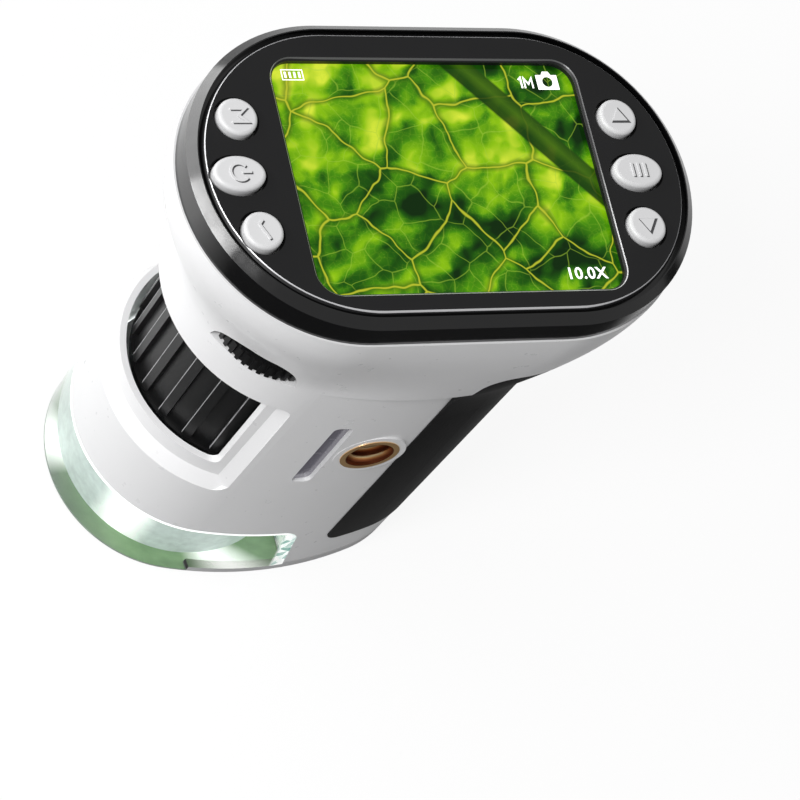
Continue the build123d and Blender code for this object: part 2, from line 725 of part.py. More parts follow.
def make_card_socket():
    """Memory card socket under the board, open towards the head's wall."""
    front_y = wall_at(BOARD_LOW_Z) - WALL - CARD_INSET
    half = CARD_SOCKET_W / 2
    low_z = BOARD_LOW_Z - CARD_SOCKET_H
    body = block(CARD_X - half, CARD_X + half, front_y - CARD_LONG, front_y, low_z, BOARD_LOW_Z)
    slot_z = BOARD_LOW_Z - CARD_SOCKET_H / 2
    slot_half = CARD_W / 2
    body -= block(CARD_X - slot_half, CARD_X + slot_half, front_y - CARD_LONG + CARD_BACK_T, front_y + 1,
                  slot_z - CARD_H / 2, slot_z + CARD_H / 2)
    return body


# ---------------------------------------------------------------- dimmer
def make_dimmer_wheel():
    """Thumbwheel with a finely toothed rim."""
    x, y = dimmer_centre()
    low_z = SEAM_Z + DIMMER_LIFT
    wheel = Cylinder(DIMMER_R - DIMMER_TOOTH, DIMMER_T)
    tooth_w = math.pi * DIMMER_R / DIMMER_TEETH
    tooth = Box(DIMMER_TOOTH_ROOT, tooth_w, DIMMER_T)
    tooth = Pos(DIMMER_R - DIMMER_TOOTH_ROOT / 2, 0, 0) * tooth
    wheel += PolarLocations(0, DIMMER_TEETH) * tooth
    wheel -= Cylinder(DIMMER_SHAFT_R, DIMMER_T + 1)
    return Pos(x, y, low_z + DIMMER_T / 2) * wheel


def make_dimmer_shaft():
    """Shaft that the thumbwheel is pressed on, turning in the potentiometer."""
    x, y = dimmer_centre()
    low_z = SEAM_Z + DIMMER_LIFT
    return rod(x, y, DIMMER_SHAFT_R, low_z, pot_low() + POT_H - 1)


def pot_low():
    """Underside of the potentiometer."""
    return SEAM_Z + DIMMER_LIFT + DIMMER_T + DIMMER_PLAY


def make_dimmer_pot():
    """Potentiometer on two legs that stand on the head's floor beside the wheel."""
    x, y = dimmer_centre()
    low_z = pot_low()
    reach = DIMMER_R + DIMMER_GAP + POT_LEG
    body = Box(POT_SIDE, POT_SIDE, POT_H)
    arm = Pos(0, 0, (POT_H - POT_ARM_T) / 2) * Box(2 * reach, POT_LEG, POT_ARM_T)
    leg_h = low_z + POT_H - FLOOR_TOP_Z
    pot = body + arm
    for side in (-1, 1):
        pot += Pos(side * (reach - POT_LEG / 2), 0, (POT_H - leg_h) / 2) * Box(POT_LEG, POT_LEG, leg_h)
    pot -= Pos(0, 0, -1) * Cylinder(DIMMER_SHAFT_R + RUN_GAP, POT_H)
    return Pos(x, y, low_z + POT_H / 2) * Rot(0, 0, DIMMER_ANGLE + 90) * pot


# ---------------------------------------------------------------- optics and focus
def turned(profile):
    """Solid of revolution about the optical axis from (radius, z) points."""
    outline = Polyline([(r, 0, z) for r, z in profile], close=True)
    ring = revolve(Face(Wire(outline.edges())), Axis.Z, 360)
    return Pos(AXIS_X, 0, 0) * ring


def make_guide_tube():
    """Fixed tube that the lens carrier slides in and the focus wheel turns on."""
    shelf_z = TUBE_TOP_Z - TUBE_SHELF_T
    sleeve = turned([
        (TUBE_IN_R, TUBE_LOW_Z),
        (TUBE_OUT_R, TUBE_LOW_Z),
        (TUBE_OUT_R, CLIP_LOW_Z),
        (TUBE_OUT_R - CLIP_DEPTH, CLIP_LOW_Z),
        (TUBE_OUT_R - CLIP_DEPTH, CLIP_LOW_Z + CLIP_T),
        (TUBE_OUT_R, CLIP_LOW_Z + CLIP_T),
        (TUBE_OUT_R, TUBE_FLANGE_Z),
        (TUBE_FLANGE_R, TUBE_FLANGE_Z),
        (TUBE_FLANGE_R, TUBE_TOP_Z),
        (SENSOR_HOLE_R, TUBE_TOP_Z),
        (SENSOR_HOLE_R, shelf_z),
        (TUBE_IN_R, shelf_z),
    ])
    half_slot = FOCUS_TRAVEL / 2 + PIN_R + PIN_SLOT_SPARE
    slot_w = 2 * (PIN_R + PIN_GAP)
    slot = block(AXIS_X, AXIS_X + TUBE_FLANGE_R, -slot_w / 2, slot_w / 2,
                 PIN_Z - half_slot, PIN_Z + half_slot)
    sleeve -= slot
    for angle in TUBE_SCREW_ANGLES:
        x, y = polar(TUBE_SCREW_R, angle)
        sleeve -= rod(x, y, SCREW_R * TUBE_SCREW_SHARE, TUBE_FLANGE_Z - 1, TUBE_TOP_Z + 1)
    return sleeve


def make_wheel_clip():
    """Spring clip that keeps the focus wheel on its tube."""
    inner = TUBE_OUT_R - CLIP_DEPTH
    ring = tube(AXIS_X, 0, CLIP_OUT_R, inner, CLIP_LOW_Z, CLIP_LOW_Z + CLIP_T)
    half = CLIP_OPEN / 2
    gap = block(AXIS_X, AXIS_X + CLIP_OUT_R + 1, -half, half, CLIP_LOW_Z - 1, WHEEL_LOW_Z)
    return ring - gap


def cam_groove():
    """Helical groove inside the focus wheel that drives the carrier's pin."""
    pitch = FOCUS_TRAVEL / FOCUS_TURN * 360
    turns = (FOCUS_TURN + CAM_SPARE) / 360
    width = 2 * (PIN_R + PIN_GAP)
    depth_r = TUBE_OUT_R + CAM_DEPTH
    path = Helix(pitch=pitch, height=pitch * turns, radius=WHEEL_BORE_R)
    start = path.position_at(0)
    tangent = path.tangent_at(0)
    section = Plane(origin=start, x_dir=(1, 0, 0), z_dir=tangent)
    depth = depth_r - WHEEL_BORE_R
    profile = Pos((depth - CAM_OVERCUT) / 2, 0) * Rectangle(depth + CAM_OVERCUT, width)
    profile = section * profile
    groove = sweep(profile, path=path, is_frenet=True)
    lift = PIN_Z - pitch * turns / 2
    return Pos(AXIS_X, 0, lift) * Rot(0, 0, -turns * 180) * groove


def make_focus_wheel():
    """Ribbed drum with the cam groove in its bore."""
    drum = turned([
        (WHEEL_BORE_R, WHEEL_LOW_Z),
        (WHEEL_LIP_R, WHEEL_LOW_Z),
        (WHEEL_LIP_R, WHEEL_LOW_Z + WHEEL_LIP_H),
        (WHEEL_DRUM_R, WHEEL_LOW_Z + WHEEL_LIP_H),
        (WHEEL_DRUM_R, WHEEL_TOP_Z),
        (WHEEL_BORE_R, WHEEL_TOP_Z),
    ])
    # one rib: straight sides, half-round lower end
    low = RIB_LOW_Z + RIB_W / 2
    side = Plane(origin=(0, 0, 0), x_dir=(0, 1, 0), z_dir=(1, 0, 0))
    outline = Pos(0, (low + WHEEL_TOP_Z) / 2) * Rectangle(RIB_W, WHEEL_TOP_Z - low)
    outline += Pos(0, low) * Circle(RIB_W / 2)
    rib = Pos(WHEEL_DRUM_R - 1, 0, 0) * extrude(side * outline, WHEEL_RIB_R - WHEEL_DRUM_R + 1)
    ribs = []
    for n in range(RIB_COUNT):
        turn = RIB_PHASE + 360 * n / RIB_COUNT
        ribs.append((Pos(AXIS_X, 0, 0) * Rot(0, 0, turn) * rib).solid())
    wheel = drum.fuse(*ribs)
    return wheel - cam_groove()


def make_lens_carrier():
    """Barrel that slides in the guide tube, with a narrower nose below."""
    seat_z = NOSE_LOW_Z + RETAINER_T + LENS_T
    top_seat_z = CARRIER_TOP_Z - RELAY_DEPTH
    carrier_r = TUBE_IN_R - RUN_GAP
    barrel = turned([
        (LENS_R, NOSE_LOW_Z),
        (NOSE_R, NOSE_LOW_Z),
        (NOSE_R, CARRIER_LOW_Z),
        (carrier_r, CARRIER_LOW_Z),
        (carrier_r, CARRIER_TOP_Z),
        (CARRIER_BORE_R + SEAT_W, CARRIER_TOP_Z),
        (CARRIER_BORE_R + SEAT_W, top_seat_z),
        (CARRIER_BORE_R - SEAT_W, top_seat_z),
        (CARRIER_BORE_R - SEAT_W, seat_z),
        (LENS_R, seat_z),
    ])
    pin_hole = Pos(AXIS_X + carrier_r - 1, 0, PIN_Z) * Rot(0, 90, 0) * Cylinder(PIN_R, 4)
    return barrel - pin_hole


def make_cam_pin():
    """Steel pin pressed in the carrier, running in the wheel's cam groove."""
    start = TUBE_IN_R - RUN_GAP - PIN_SEAT
    end = TUBE_OUT_R + PIN_REACH
    return Pos(AXIS_X + (start + end) / 2, 0, PIN_Z) * Rot(0, 90, 0) * Cylinder(PIN_R, end - start)


def make_objective_lens():
    """Plano-convex objective in the carrier's nose."""
    low_z = NOSE_LOW_Z + RETAINER_T
    edge_z = low_z + LENS_SAG
    disc = rod(AXIS_X, 0, LENS_R, edge_z, low_z + LENS_T)
    ball_r = (LENS_R ** 2 + LENS_SAG ** 2) / (2 * LENS_SAG)
    cap = Pos(AXIS_X, 0, low_z + ball_r) * Sphere(ball_r)
    cap &= rod(AXIS_X, 0, LENS_R, low_z, edge_z)
    return disc + cap


def make_relay_lens():
    """Upper lens in its seat at the carrier's top."""
    low_z = CARRIER_TOP_Z - RELAY_DEPTH
    return rod(AXIS_X, 0, CARRIER_BORE_R + SEAT_W, low_z, low_z + RELAY_T)


def make_lens_retainer():
    """Threaded ring that holds the objective."""
    inner = LENS_R - RETAINER_W
    return tube(AXIS_X, 0, LENS_R, inner, NOSE_LOW_Z, NOSE_LOW_Z + RETAINER_T)


def make_sensor_board():
    """Small board over the guide tube."""
    middle_z = TUBE_TOP_Z + SENSOR_BOARD_T / 2
    board = Box(SENSOR_BOARD_SIDE, SENSOR_BOARD_SIDE, SENSOR_BOARD_T)
    return Pos(AXIS_X, 0, middle_z) * board


def make_camera_ribbon():
    """Flat ribbon from the sensor board up to the main board, bent like an S."""
    start = (AXIS_X + RIBBON_START, 0, TUBE_TOP_Z + SENSOR_BOARD_T)
    rise = BOARD_LOW_Z - start[2]
    path = Spline(
        start,
        (AXIS_X + RIBBON_BULGE, 0, start[2] + rise * RIBBON_BULGE_SHARE),
        (AXIS_X + RIBBON_RETURN, 0, start[2] + rise * RIBBON_RETURN_SHARE),
        (AXIS_X + RIBBON_END, 0, BOARD_LOW_Z),
        tangents=((0, 0, 1), (0, 0, 1)),
    )
    return sweep(Pos(*start) * Rectangle(RIBBON_T, RIBBON_W), path=path)


def make_image_sensor():
    """Image sensor looking down the tube."""
    sensor = Box(SENSOR_SIDE, SENSOR_SIDE, SENSOR_T)
    return Pos(AXIS_X, 0, TUBE_TOP_Z - SENSOR_T / 2) * sensor


# ---------------------------------------------------------------- body pieces
def window_recess():
    """Cutter for the sunk field round the focus wheel's opening, with its bevels."""
    deep_z = RECESS_LOW_Z + RECESS_RISE
    deep_x = RECESS_X - RECESS_RUN
    # bevels at the right: upright planes through the outline and the field's edge
    edge_y = body_front(RECESS_X, deep_z)
    run_y = body_front(deep_x, deep_z, RECESS_DEPTH) - edge_y
    outer = (RECESS_X + RECESS_RUN, edge_y - run_y)
    inner = (RECESS_X - 2 * RECESS_RUN, edge_y + 2 * run_y)
    front = [inner, outer, (-FAR, outer[1])]
    back = [(x, -y) for x, y in reversed(front)]
    plan = Face(Wire(Polyline(front + back, close=True).edges()))
    low_z = RECESS_LOW_Z - RECESS_RISE
    recess = extrude(Pos(0, 0, low_z) * plan, OPENING_TOP_Z - low_z, dir=(0, 0, 1))
    # bevel below: the wall leans in from the outline to the field, and runs past both
    high_z = deep_z + RECESS_RISE
    outer_edge = inset_oval(low_z, body_values(low_z), -RECESS_DEPTH)
    inner_edge = inset_oval(high_z, body_values(high_z), 2 * RECESS_DEPTH)
    recess -= loft([outer_edge, inner_edge], ruled=True)
    recess -= body_hull(RECESS_DEPTH)
    # rounded corners of the outline, seen from the side
    right = RECESS_X + RECESS_EASE
    low = RECESS_LOW_Z - RECESS_EASE
    rounded = along_y([
        (-FAR, low),
        (right, low),
        (right, OPENING_TOP_Z),
        (-FAR, OPENING_TOP_Z),
    ])
    rounded = fillet(upright_edges(rounded, right, low), RECESS_ROUND)
    rounded = fillet(upright_edges(rounded, right, OPENING_TOP_Z), RECESS_TOP_ROUND)
    return recess & rounded


def window_opening():
    """Cutter for the opening itself."""
    prism = along_y([
        (-FAR, OPENING_LOW_Z),
        (OPENING_X, OPENING_LOW_Z),
        (OPENING_X, OPENING_TOP_Z),
        (-FAR, OPENING_TOP_Z),
    ])
    return fillet(upright_edges(prism, OPENING_X, OPENING_LOW_Z), OPENING_ROUND)


def tripod_front():
    """Y of the insert's face."""
    return body_front(TRIPOD_X, TRIPOD_Z) - TRIPOD_PROUD


def status_front():
    """Y of the body's surface at the status light."""
    return body_front(STATUS_X, STATUS_Z)


def tripod_axis(y0, y1, radius):
    """Cylinder along Y on the tripod socket's axis."""
    place = Pos(TRIPOD_X, (y0 + y1) / 2, TRIPOD_Z) * Rot(90, 0, 0)
    return place * Cylinder(radius, y1 - y0)


def status_prism(grow, y0, y1):
    """Upright rounded slot of the status light, along Y."""
    outline = RectangleRounded(STATUS_W + 2 * grow, STATUS_H + 2 * grow, STATUS_CORNER + grow)
    face = Plane(origin=(STATUS_X, y0, STATUS_Z), x_dir=(1, 0, 0), z_dir=(0, 1, 0)) * outline
    return extrude(face, y1 - y0, dir=(0, 1, 0))


def make_body_shell():
    """White body: lens end with the wheel's opening, handle, deck and neck."""
    region = grip_region()
    white = body_hull() & block(-FAR, FAR, -FAR, FAR, CAP_T, SEAM_Z)
    core = grip_hull(GRIP_T) & region
    solid = (white - region) + core
    # hollow of the lens end and the handle, up to the deck and the neck's top
    inner_x = GRIP_X - WALL
    lens_room = body_hull(LENS_WALL) & block(-FAR, inner_x, -FAR, FAR, -1, DECK_LOW_Z)
    handle_core = grip_hull(GRIP_T + WALL)
    handle_room = handle_core & block(inner_x - 0.01, FAR, -FAR, FAR, -1, DECK_LOW_Z)
    neck_room = handle_core & block(NOTCH_X + WALL, FAR, -FAR, FAR, 0, NOTCH_TOP_Z - DECK_T)
    foot_room = body_hull(WALL) & block(inner_x, FAR, -FAR, FAR, -1, GRIP_LOW_Z - WALL)
    bosses = []
    for x, y in BASE_SCREWS:
        bosses.append(rod(x, y, BOSS_R, CAP_T, HOOD_TOP_Z) & solid)
    front = tripod_front()
    pad_y = front + TRIPOD_PROUD - TRIPOD_PAD_PROUD
    tripod_boss = tripod_axis(pad_y, front + TRIPOD_DEPTH + WALL, TRIPOD_PAD_R)
    shell = solid - lens_room - handle_room - neck_room - foot_room
    for boss in bosses:
        shell += boss
    shell += tripod_boss
    # room for the wheel behind the tripod boss
    shell -= rod(AXIS_X, 0, LENS_ROOM_R, HOOD_TOP_Z, DECK_LOW_Z)
    shell -= window_recess()
    shell -= window_opening()
    shell -= hood_region()
    # deck opening for the sensor board, and screw holes
    shell -= rod(AXIS_X, 0, SENSOR_ROOM_R, DECK_LOW_Z - 1, SEAM_Z + 1)
    for angle in TUBE_SCREW_ANGLES:
        x, y = polar(TUBE_SCREW_R, angle)
        head_r = SCREW_HEAD_R * TUBE_SCREW_SHARE
        shell -= rod(x, y, SCREW_R * TUBE_SCREW_SHARE, DECK_LOW_Z - 1, SEAM_Z + 1)
        shell -= rod(x, y, head_r, SEAM_Z - SCREW_HEAD_T, SEAM_Z + 1)
    for x, y in SEAM_SCREWS:
        shell -= rod(x, y, SCREW_R, DECK_LOW_Z + SCREW_SKIN, SEAM_Z + 1)
    for x, y in NECK_SCREWS:
        shell -= rod(x, y, SCREW_R, NOTCH_TOP_Z - DECK_T + SCREW_SKIN, NOTCH_TOP_Z + 1)
    for x, y in BASE_SCREWS:
        shell -= rod(x, y, SCREW_R, 0, CAP_T + BASE_HOLE_DEPTH)
    shell -= wire_passage()
    # tripod insert and status light
    shell -= tripod_axis(front - 1, front + TRIPOD_FLANGE_T, TRIPOD_FLANGE_R)
    shell -= tripod_axis(front - 1, front + TRIPOD_DEPTH, TRIPOD_BARREL_R)
    shell -= status_prism(0, status_front() - 1, status_front() + LENS_WALL + 1)
    return shell


def make_grip_pad():
    """Rubber grip wrapped round the handle and spreading under the head."""
    return (grip_hull() & grip_region()) - grip_hull(GRIP_T)


def make_tripod_insert():
    """Flanged brass insert for a 1/4 inch tripod screw."""
    front = tripod_front()
    insert = tripod_axis(front, front + TRIPOD_FLANGE_T, TRIPOD_FLANGE_R)
    insert += tripod_axis(front, front + TRIPOD_DEPTH, TRIPOD_BARREL_R)
    return insert - tripod_axis(front - 1, front + TRIPOD_DEPTH + 1, TRIPOD_THREAD_R)


def make_status_window():
    """Smoky light pipe, a little below the body's surface."""
    return status_prism(0, status_front() + STATUS_RECESS, status_front() + LENS_WALL)


def cap_rim():
    """Strip of the cap that runs on under the hood's outer edge."""
    rim = body_hull() & block(RIM_END_X, FAR, -FAR, FAR, 0, RIM_H) & hood_region()
    return rim - body_hull(RIM_W)


def make_base_cap():
    """Cap that closes the handle from below, with the rim that carries the hood."""
    cap = body_hull() & block(-FAR, FAR, -FAR, FAR, 0, CAP_T)
    cap = chamfer(cap.faces().sort_by(Axis.Z)[-1].edges(), CAP_EDGE)
    cap -= hood_region()
    cap -= rod(AXIS_X, 0, CUP_R + SLIP, -1, CAP_T + 1)
    cap += cap_rim()
    for x, y in BASE_SCREWS:
        cap -= rod(x, y, SCREW_R, -1, CAP_T + 1)
        cap -= rod(x, y, SCREW_HEAD_R, -1, SCREW_HEAD_T)
    return cap


# ---------------------------------------------------------------- lighting
def make_clear_hood():
    """Clear light guide flush with the body, with a cup that goes up inside it."""
    hood = (body_hull() & hood_region()) - cap_rim()
    hood += rod(AXIS_X, 0, CUP_R, 0, CUP_TOP_Z)
    bore = turned([
        (0, -1),
        (HOOD_MOUTH_R, -1),
        (HOOD_MOUTH_R, 0),
        (HOOD_THROAT_R, HOOD_TOP_Z),
        (HOOD_THROAT_R, CUP_TOP_Z + 1),
        (0, CUP_TOP_Z + 1),
    ])
    return hood - bore


def make_led_holder():
    """Ring on top of the hood's cup that carries the LED board."""
    return tube(AXIS_X, 0, CUP_R, LED_HOLDER_IN_R, CUP_TOP_Z, CUP_TOP_Z + LED_HOLDER_T)


def make_led_board():
    """Ring-shaped board with the lamps."""
    outer = HOOD_THROAT_R - SLIP
    return tube(AXIS_X, 0, outer, LED_BOARD_IN_R, LED_BOARD_Z, LED_BOARD_Z + LED_BOARD_T)


def make_leds():
    """Lamps facing the specimen."""
    lamps = []
    for n in range(LED_COUNT):
        lamp = Pos(LED_RING_R, 0, LED_BOARD_Z - LED_H / 2) * Box(LED_SIDE, LED_SIDE, LED_H)
        lamps.append((Pos(AXIS_X, 0, 0) * Rot(0, 0, 360 * n / LED_COUNT) * lamp).solid())
    return Compound(lamps)


# ---------------------------------------------------------------- battery and screws
def make_battery_cell():
    """Rechargeable cell standing in the handle."""
    cell = rod(CELL_X, 0, CELL_R, CELL_LOW_Z, CELL_LOW_Z + CELL_H)
    top_z = CELL_LOW_Z + CELL_H
    button = rod(CELL_X, 0, CELL_BUTTON_R, top_z, top_z + CELL_BUTTON_H)
    return chamfer(cell.edges(), CELL_EDGE) + button


def make_battery_cradle():
    """Half-round cradle that stands on the base cap and holds the cell."""
    outer = CELL_R + CRADLE_T
    top_z = CELL_LOW_Z + CELL_H * CRADLE_SHARE
    cradle = tube(CELL_X, 0, outer, CELL_R, CAP_T, top_z)
    cradle &= block(CELL_X + CRADLE_OPEN_X, FAR, -FAR, FAR, 0, FAR)
    floor = rod(CELL_X, 0, CELL_R, CELL_LOW_Z - CRADLE_FLOOR_T, CELL_LOW_Z)
    return cradle + floor


def screw(x, y, under_head_z, length, up=1, share=1.0):
    """Pan-head screw; the shank runs away from the head, downwards when up is 1."""
    head = SCREW_HEAD_T * up
    shank_end = under_head_z - length * up
    low, high = sorted((under_head_z, shank_end))
    shank = rod(x, y, SCREW_R * share, low, high)
    low, high = sorted((under_head_z, under_head_z + head))
    return (shank + rod(x, y, SCREW_HEAD_R * share, low, high)).solid()


def make_head_screws():
    """Screws from inside the head into the body's deck and neck."""
    length = WALL + DECK_T - SCREW_SPARE
    neck_top = NOTCH_TOP_Z + WALL
    group = [screw(x, y, FLOOR_TOP_Z, length) for x, y in SEAM_SCREWS]
    group += [screw(x, y, neck_top, length) for x, y in NECK_SCREWS]
    return Compound(group)


def make_board_screws():
    """Screws that hold the main board on its posts."""
    length = BOARD_T + BOARD_SCREW_BITE
    return Compound([screw(x, y, BOARD_TOP_Z, length) for x, y in BOARD_SCREWS])


def make_tube_screws():
    """Screws that hang the guide tube from the deck."""
    group = []
    for angle in TUBE_SCREW_ANGLES:
        x, y = polar(TUBE_SCREW_R, angle)
        length = DECK_T - SCREW_HEAD_T + TUBE_FLANGE_T - SLIP
        group.append(screw(x, y, SEAM_Z - SCREW_HEAD_T, length, share=TUBE_SCREW_SHARE))
    return Compound(group)


def make_base_screws():
    """Screws from below through the base cap."""
    length = CAP_T - SCREW_HEAD_T + BASE_SCREW_BITE
    return Compound([screw(x, y, SCREW_HEAD_T, length, up=-1) for x, y in BASE_SCREWS])


# ---------------------------------------------------------------- build
PIECES = {
    "face_plate": make_face_plate,
    "bezel": make_bezel,
    "lcd_panel": make_lcd_panel,
    "lcd_backlight": make_lcd_backlight,
    "key_switches": make_key_switches,
    "main_board": make_main_board,
    "board_chips": make_board_chips,
    "head_shell": make_head_shell,
    "usb_port": make_usb_port,
    "card_socket": make_card_socket,
    "dimmer_wheel": make_dimmer_wheel,
    "dimmer_shaft": make_dimmer_shaft,
    "dimmer_pot": make_dimmer_pot,
    "guide_tube": make_guide_tube,
    "wheel_clip": make_wheel_clip,
    "focus_wheel": make_focus_wheel,
    "lens_carrier": make_lens_carrier,
    "cam_pin": make_cam_pin,
    "objective_lens": make_objective_lens,
    "relay_lens": make_relay_lens,
    "lens_retainer": make_lens_retainer,
    "sensor_board": make_sensor_board,
    "camera_ribbon": make_camera_ribbon,
    "image_sensor": make_image_sensor,
    "body_shell": make_body_shell,
    "grip_pad": make_grip_pad,
    "tripod_insert": make_tripod_insert,
    "status_window": make_status_window,
    "base_cap": make_base_cap,
    "clear_hood": make_clear_hood,
    "led_holder": make_led_holder,
    "led_board": make_led_board,
    "leds": make_leds,
    "battery_cell": make_battery_cell,
    "battery_cradle": make_battery_cradle,
    "head_screws": make_head_screws,
    "board_screws": make_board_screws,
    "tube_screws": make_tube_screws,
    "base_screws": make_base_screws,
}

for node, make in PIECES.items():
    export_step(make(), f"parts/{node}.step")
for node in KEYS:
    export_step(make_key(node), f"parts/{node}.step")
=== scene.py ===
import json
import math

import bmesh
import bpy
from mathutils import Matrix, Vector


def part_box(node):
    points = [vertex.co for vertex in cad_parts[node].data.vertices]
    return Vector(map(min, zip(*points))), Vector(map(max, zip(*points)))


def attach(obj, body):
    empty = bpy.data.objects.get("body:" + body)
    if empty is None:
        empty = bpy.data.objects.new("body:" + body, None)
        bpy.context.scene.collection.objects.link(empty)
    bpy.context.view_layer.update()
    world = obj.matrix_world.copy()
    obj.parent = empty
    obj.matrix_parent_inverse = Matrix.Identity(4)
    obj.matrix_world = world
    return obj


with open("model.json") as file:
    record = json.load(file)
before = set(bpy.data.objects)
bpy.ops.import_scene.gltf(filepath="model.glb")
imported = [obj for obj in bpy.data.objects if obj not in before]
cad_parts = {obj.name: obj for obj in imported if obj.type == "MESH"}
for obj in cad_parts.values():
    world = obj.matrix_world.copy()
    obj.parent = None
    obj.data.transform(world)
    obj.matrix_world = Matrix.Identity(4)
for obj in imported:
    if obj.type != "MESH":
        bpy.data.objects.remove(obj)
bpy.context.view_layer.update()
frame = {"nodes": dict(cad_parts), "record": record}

# Handheld LCD microscope standing on its clear lighting hood.
# The frame is the CAD's: +Z up, -Y the side with the tripod socket, -X the end with
# the lens. Objects are in metres; the sizes below are millimetres unless said.

MM = 0.001
HOUSING = "housing"

# ---------------------------------------------------------------- camera
CAMERA_AT = (-193.41, -185.37, 417.65)
CAMERA_RIGHT = (0.8994, -0.2166, 0.3797)
CAMERA_DOWN = (-0.0342, -0.9008, -0.4328)
SENSOR_WIDTH = 36
CAMERA_LENS = 158.2
CAMERA_NEAR = 10

# ---------------------------------------------------------------- studio
WORLD_LIGHT = 0.44       # the camera sees it at 1, white
LAMP_TARGET = (0, 0, 0.05)
LAMPS = {                # direction, distance, width, height in metres, roll, power
    "key_light": ((-0.62, -0.28, 0.73), 0.62, 0.16, 0.16, 0, 2.1),
    "left_wall": ((-0.635, 0.731, 0.250), 0.60, 0.87, 0.13, 19, 1.6),
    "streak_light": ((-0.868, 0.061, 0.492), 0.60, 0.42, 0.03, 15, 0.95),
}
FLOOR_HALF = 3000
FLOOR_DROP = 0.05        # keeps the floor off the undersides
FLOOR_WHITE = 0.88       # share of plain white in what the camera sees; the rest is lit
FLOOR_GLOSS_Y = (-30, 20)   # gloss sees the floor go from dark to white between these

# ---------------------------------------------------------------- places on the part
FACE_Z = 81.3
AXIS_X = -9.1            # optical axis
INSERT_AT = (2.2, 38.9)  # brass insert's axis, X and Z
INSERT_R = 3.175

# Bright line cut on the face plate's chamfers
CUT_LINE = 0.22          # how far down from the face it reaches ...
CUT_LINE_ENDS = 0.13     # ... and how far near the plate's ends
CUT_LINE_SPAN = (14, 20)    # |X| between which it narrows
CUT_LINE_FADE = 0.04

# Lighting hood
THROAT_R = 13.8          # cone inside the hood, at its top
HOOD_TOP_Z = 13.1
HOOD_END = (4.6, 2.4)    # hood's right end along X, at the table and at its top
HOOD_FOOT_Z = 1.5        # the green foot is below this
HOOD_RIM_Z = 0.3         # the grey rim is below this
HOOD_LIP = 0.6           # white lip's height, at the top
CONE_GLOW = 228          # degrees, a painted glow on the cone in the hood ...
FOOT_GLOW = 288          # ... and on the hood's foot, each repeated ...
LAMP_GLOWS = 3           # ... this many times round

# Focus wheel
WHEEL_RIB_R = 14.8       # over its ribs
WHEEL_TOP_Z = 51.6
RIB_COUNT = 22
RIB_PHASE = -1.2         # degrees
RIB_EDGE = 0.160         # rib's edge from its middle, as a share of the spacing
RIB_EDGE_HALF = 0.012    # half the width of the painted highlight there, likewise

# Leaf on the display
BROAD_RIB_AT = 14.2      # broad dark rib, from the display's middle
BROAD_RIB_HALF = 1.9
BROAD_RIB_TURN = (0.746, 0.666)      # direction across it
FOLD_TILT = 0.43         # long dark fold: its slope ...
FOLD_AT = 5.7            # ... and how far it lies below the display's middle
MAIN_VEINS = (9.6, 0.16, 8.0)        # nets of veins: cell, line width, seed
MAIN_VEIN_SHADE = (9.6, 0.8, 8.0)
SIDE_VEINS = (4.3, 0.10, 3.0)
FINE_NET = (0.9, 0.10, 27.0)
SWELLINGS = [            # swollen cells: cell, seed, weight
    (5.4, 3.0, 0.38), (2.4, 11.0, 0.13)]
SUN_SHIFT = (0.8, -0.8)  # away from the light on the swollen cells
SUNNY_PLACES = [         # x, y, reach, weight
    (-19, 15, 22, 0.30), (6, 6, 13, 0.26), (15, -2, 10, 0.16)]

# Tripod thread
THREAD_PITCH = 1.27      # 1/4 inch, 20 threads to the inch
THREAD_DEPTH = 0.62
THREAD_STEPS = 64        # facets in one turn
THREAD_START = -30       # degrees, clockwise from +X as seen from the front
THREAD_IN = 0.1          # first turn, in from the insert's face
THREAD_OUT = 0.2         # last turn, in from its back
THREAD_SINK = 0.02       # ridge's foot inside the insert's wall
THREAD_FADE = 10         # facets over which the ridge rises at its ends
THREAD_LOW = 0.05        # ridge's share of its depth at its very ends
RIDGE_W = THREAD_PITCH * 0.8
RIDGE_CREST = (0.42, 0.58)           # crest's two edges, as shares of the ridge's width

# Keys
SYMBOL_H = 0.12          # raised symbols on the keys
SYMBOL_LINE = 0.30       # their line width
PAINTED_SHADOW_LINE = 0.36       # painted shadow line on their lower right side
PAINTED_SHADOW_SHIFT = (0.16, -0.12)
PAINTED_SHADOW_H = 0.02          # above and below the key's top

# Icons on the display; each IN is in from its left or right edge, then top or bottom
ICON_T = 0.03
ICON_LIFT = 0.005
BATTERY_IN = (2.4, 1.5)
BATTERY_SIZE = (2.8, 1.4)
BATTERY_LINE = 0.12
BATTERY_BARS = 4
BAR_START = 0.45
BAR_PITCH = 0.63
BAR_SIZE = 0.28                      # width, and gap to the outline above and below
CAMERA_ICON_IN = (2.3, 2.0)
CAMERA_ICON_SIZE = (3.0, 2.1)
CAMERA_ICON_HUMP = (0.8, 1.1, 0.5)   # its foot and top, in from the sides, and its height
CAMERA_ICON_LENS = (1.0, 0.72)       # centre, down from the top, and radius
LENS_MARK_T = 0.01
SIZE_FOOT = 1.9                      # picture size, 1M: its foot, below the camera's top
SIZE_LINES = [                       # line width, points from its foot and the camera
    (0.24, [(-5.6, 1.2), (-5.25, 1.5), (-5.25, 0.0)]),
    (0.22, [(-4.8, 0.0), (-4.8, 1.45), (-4.25, 0.6), (-3.7, 1.45), (-3.7, 0.0)]),
]
ZOOM_IN = (2.6, 2.6)
ZOOM_SIZE = 2.2


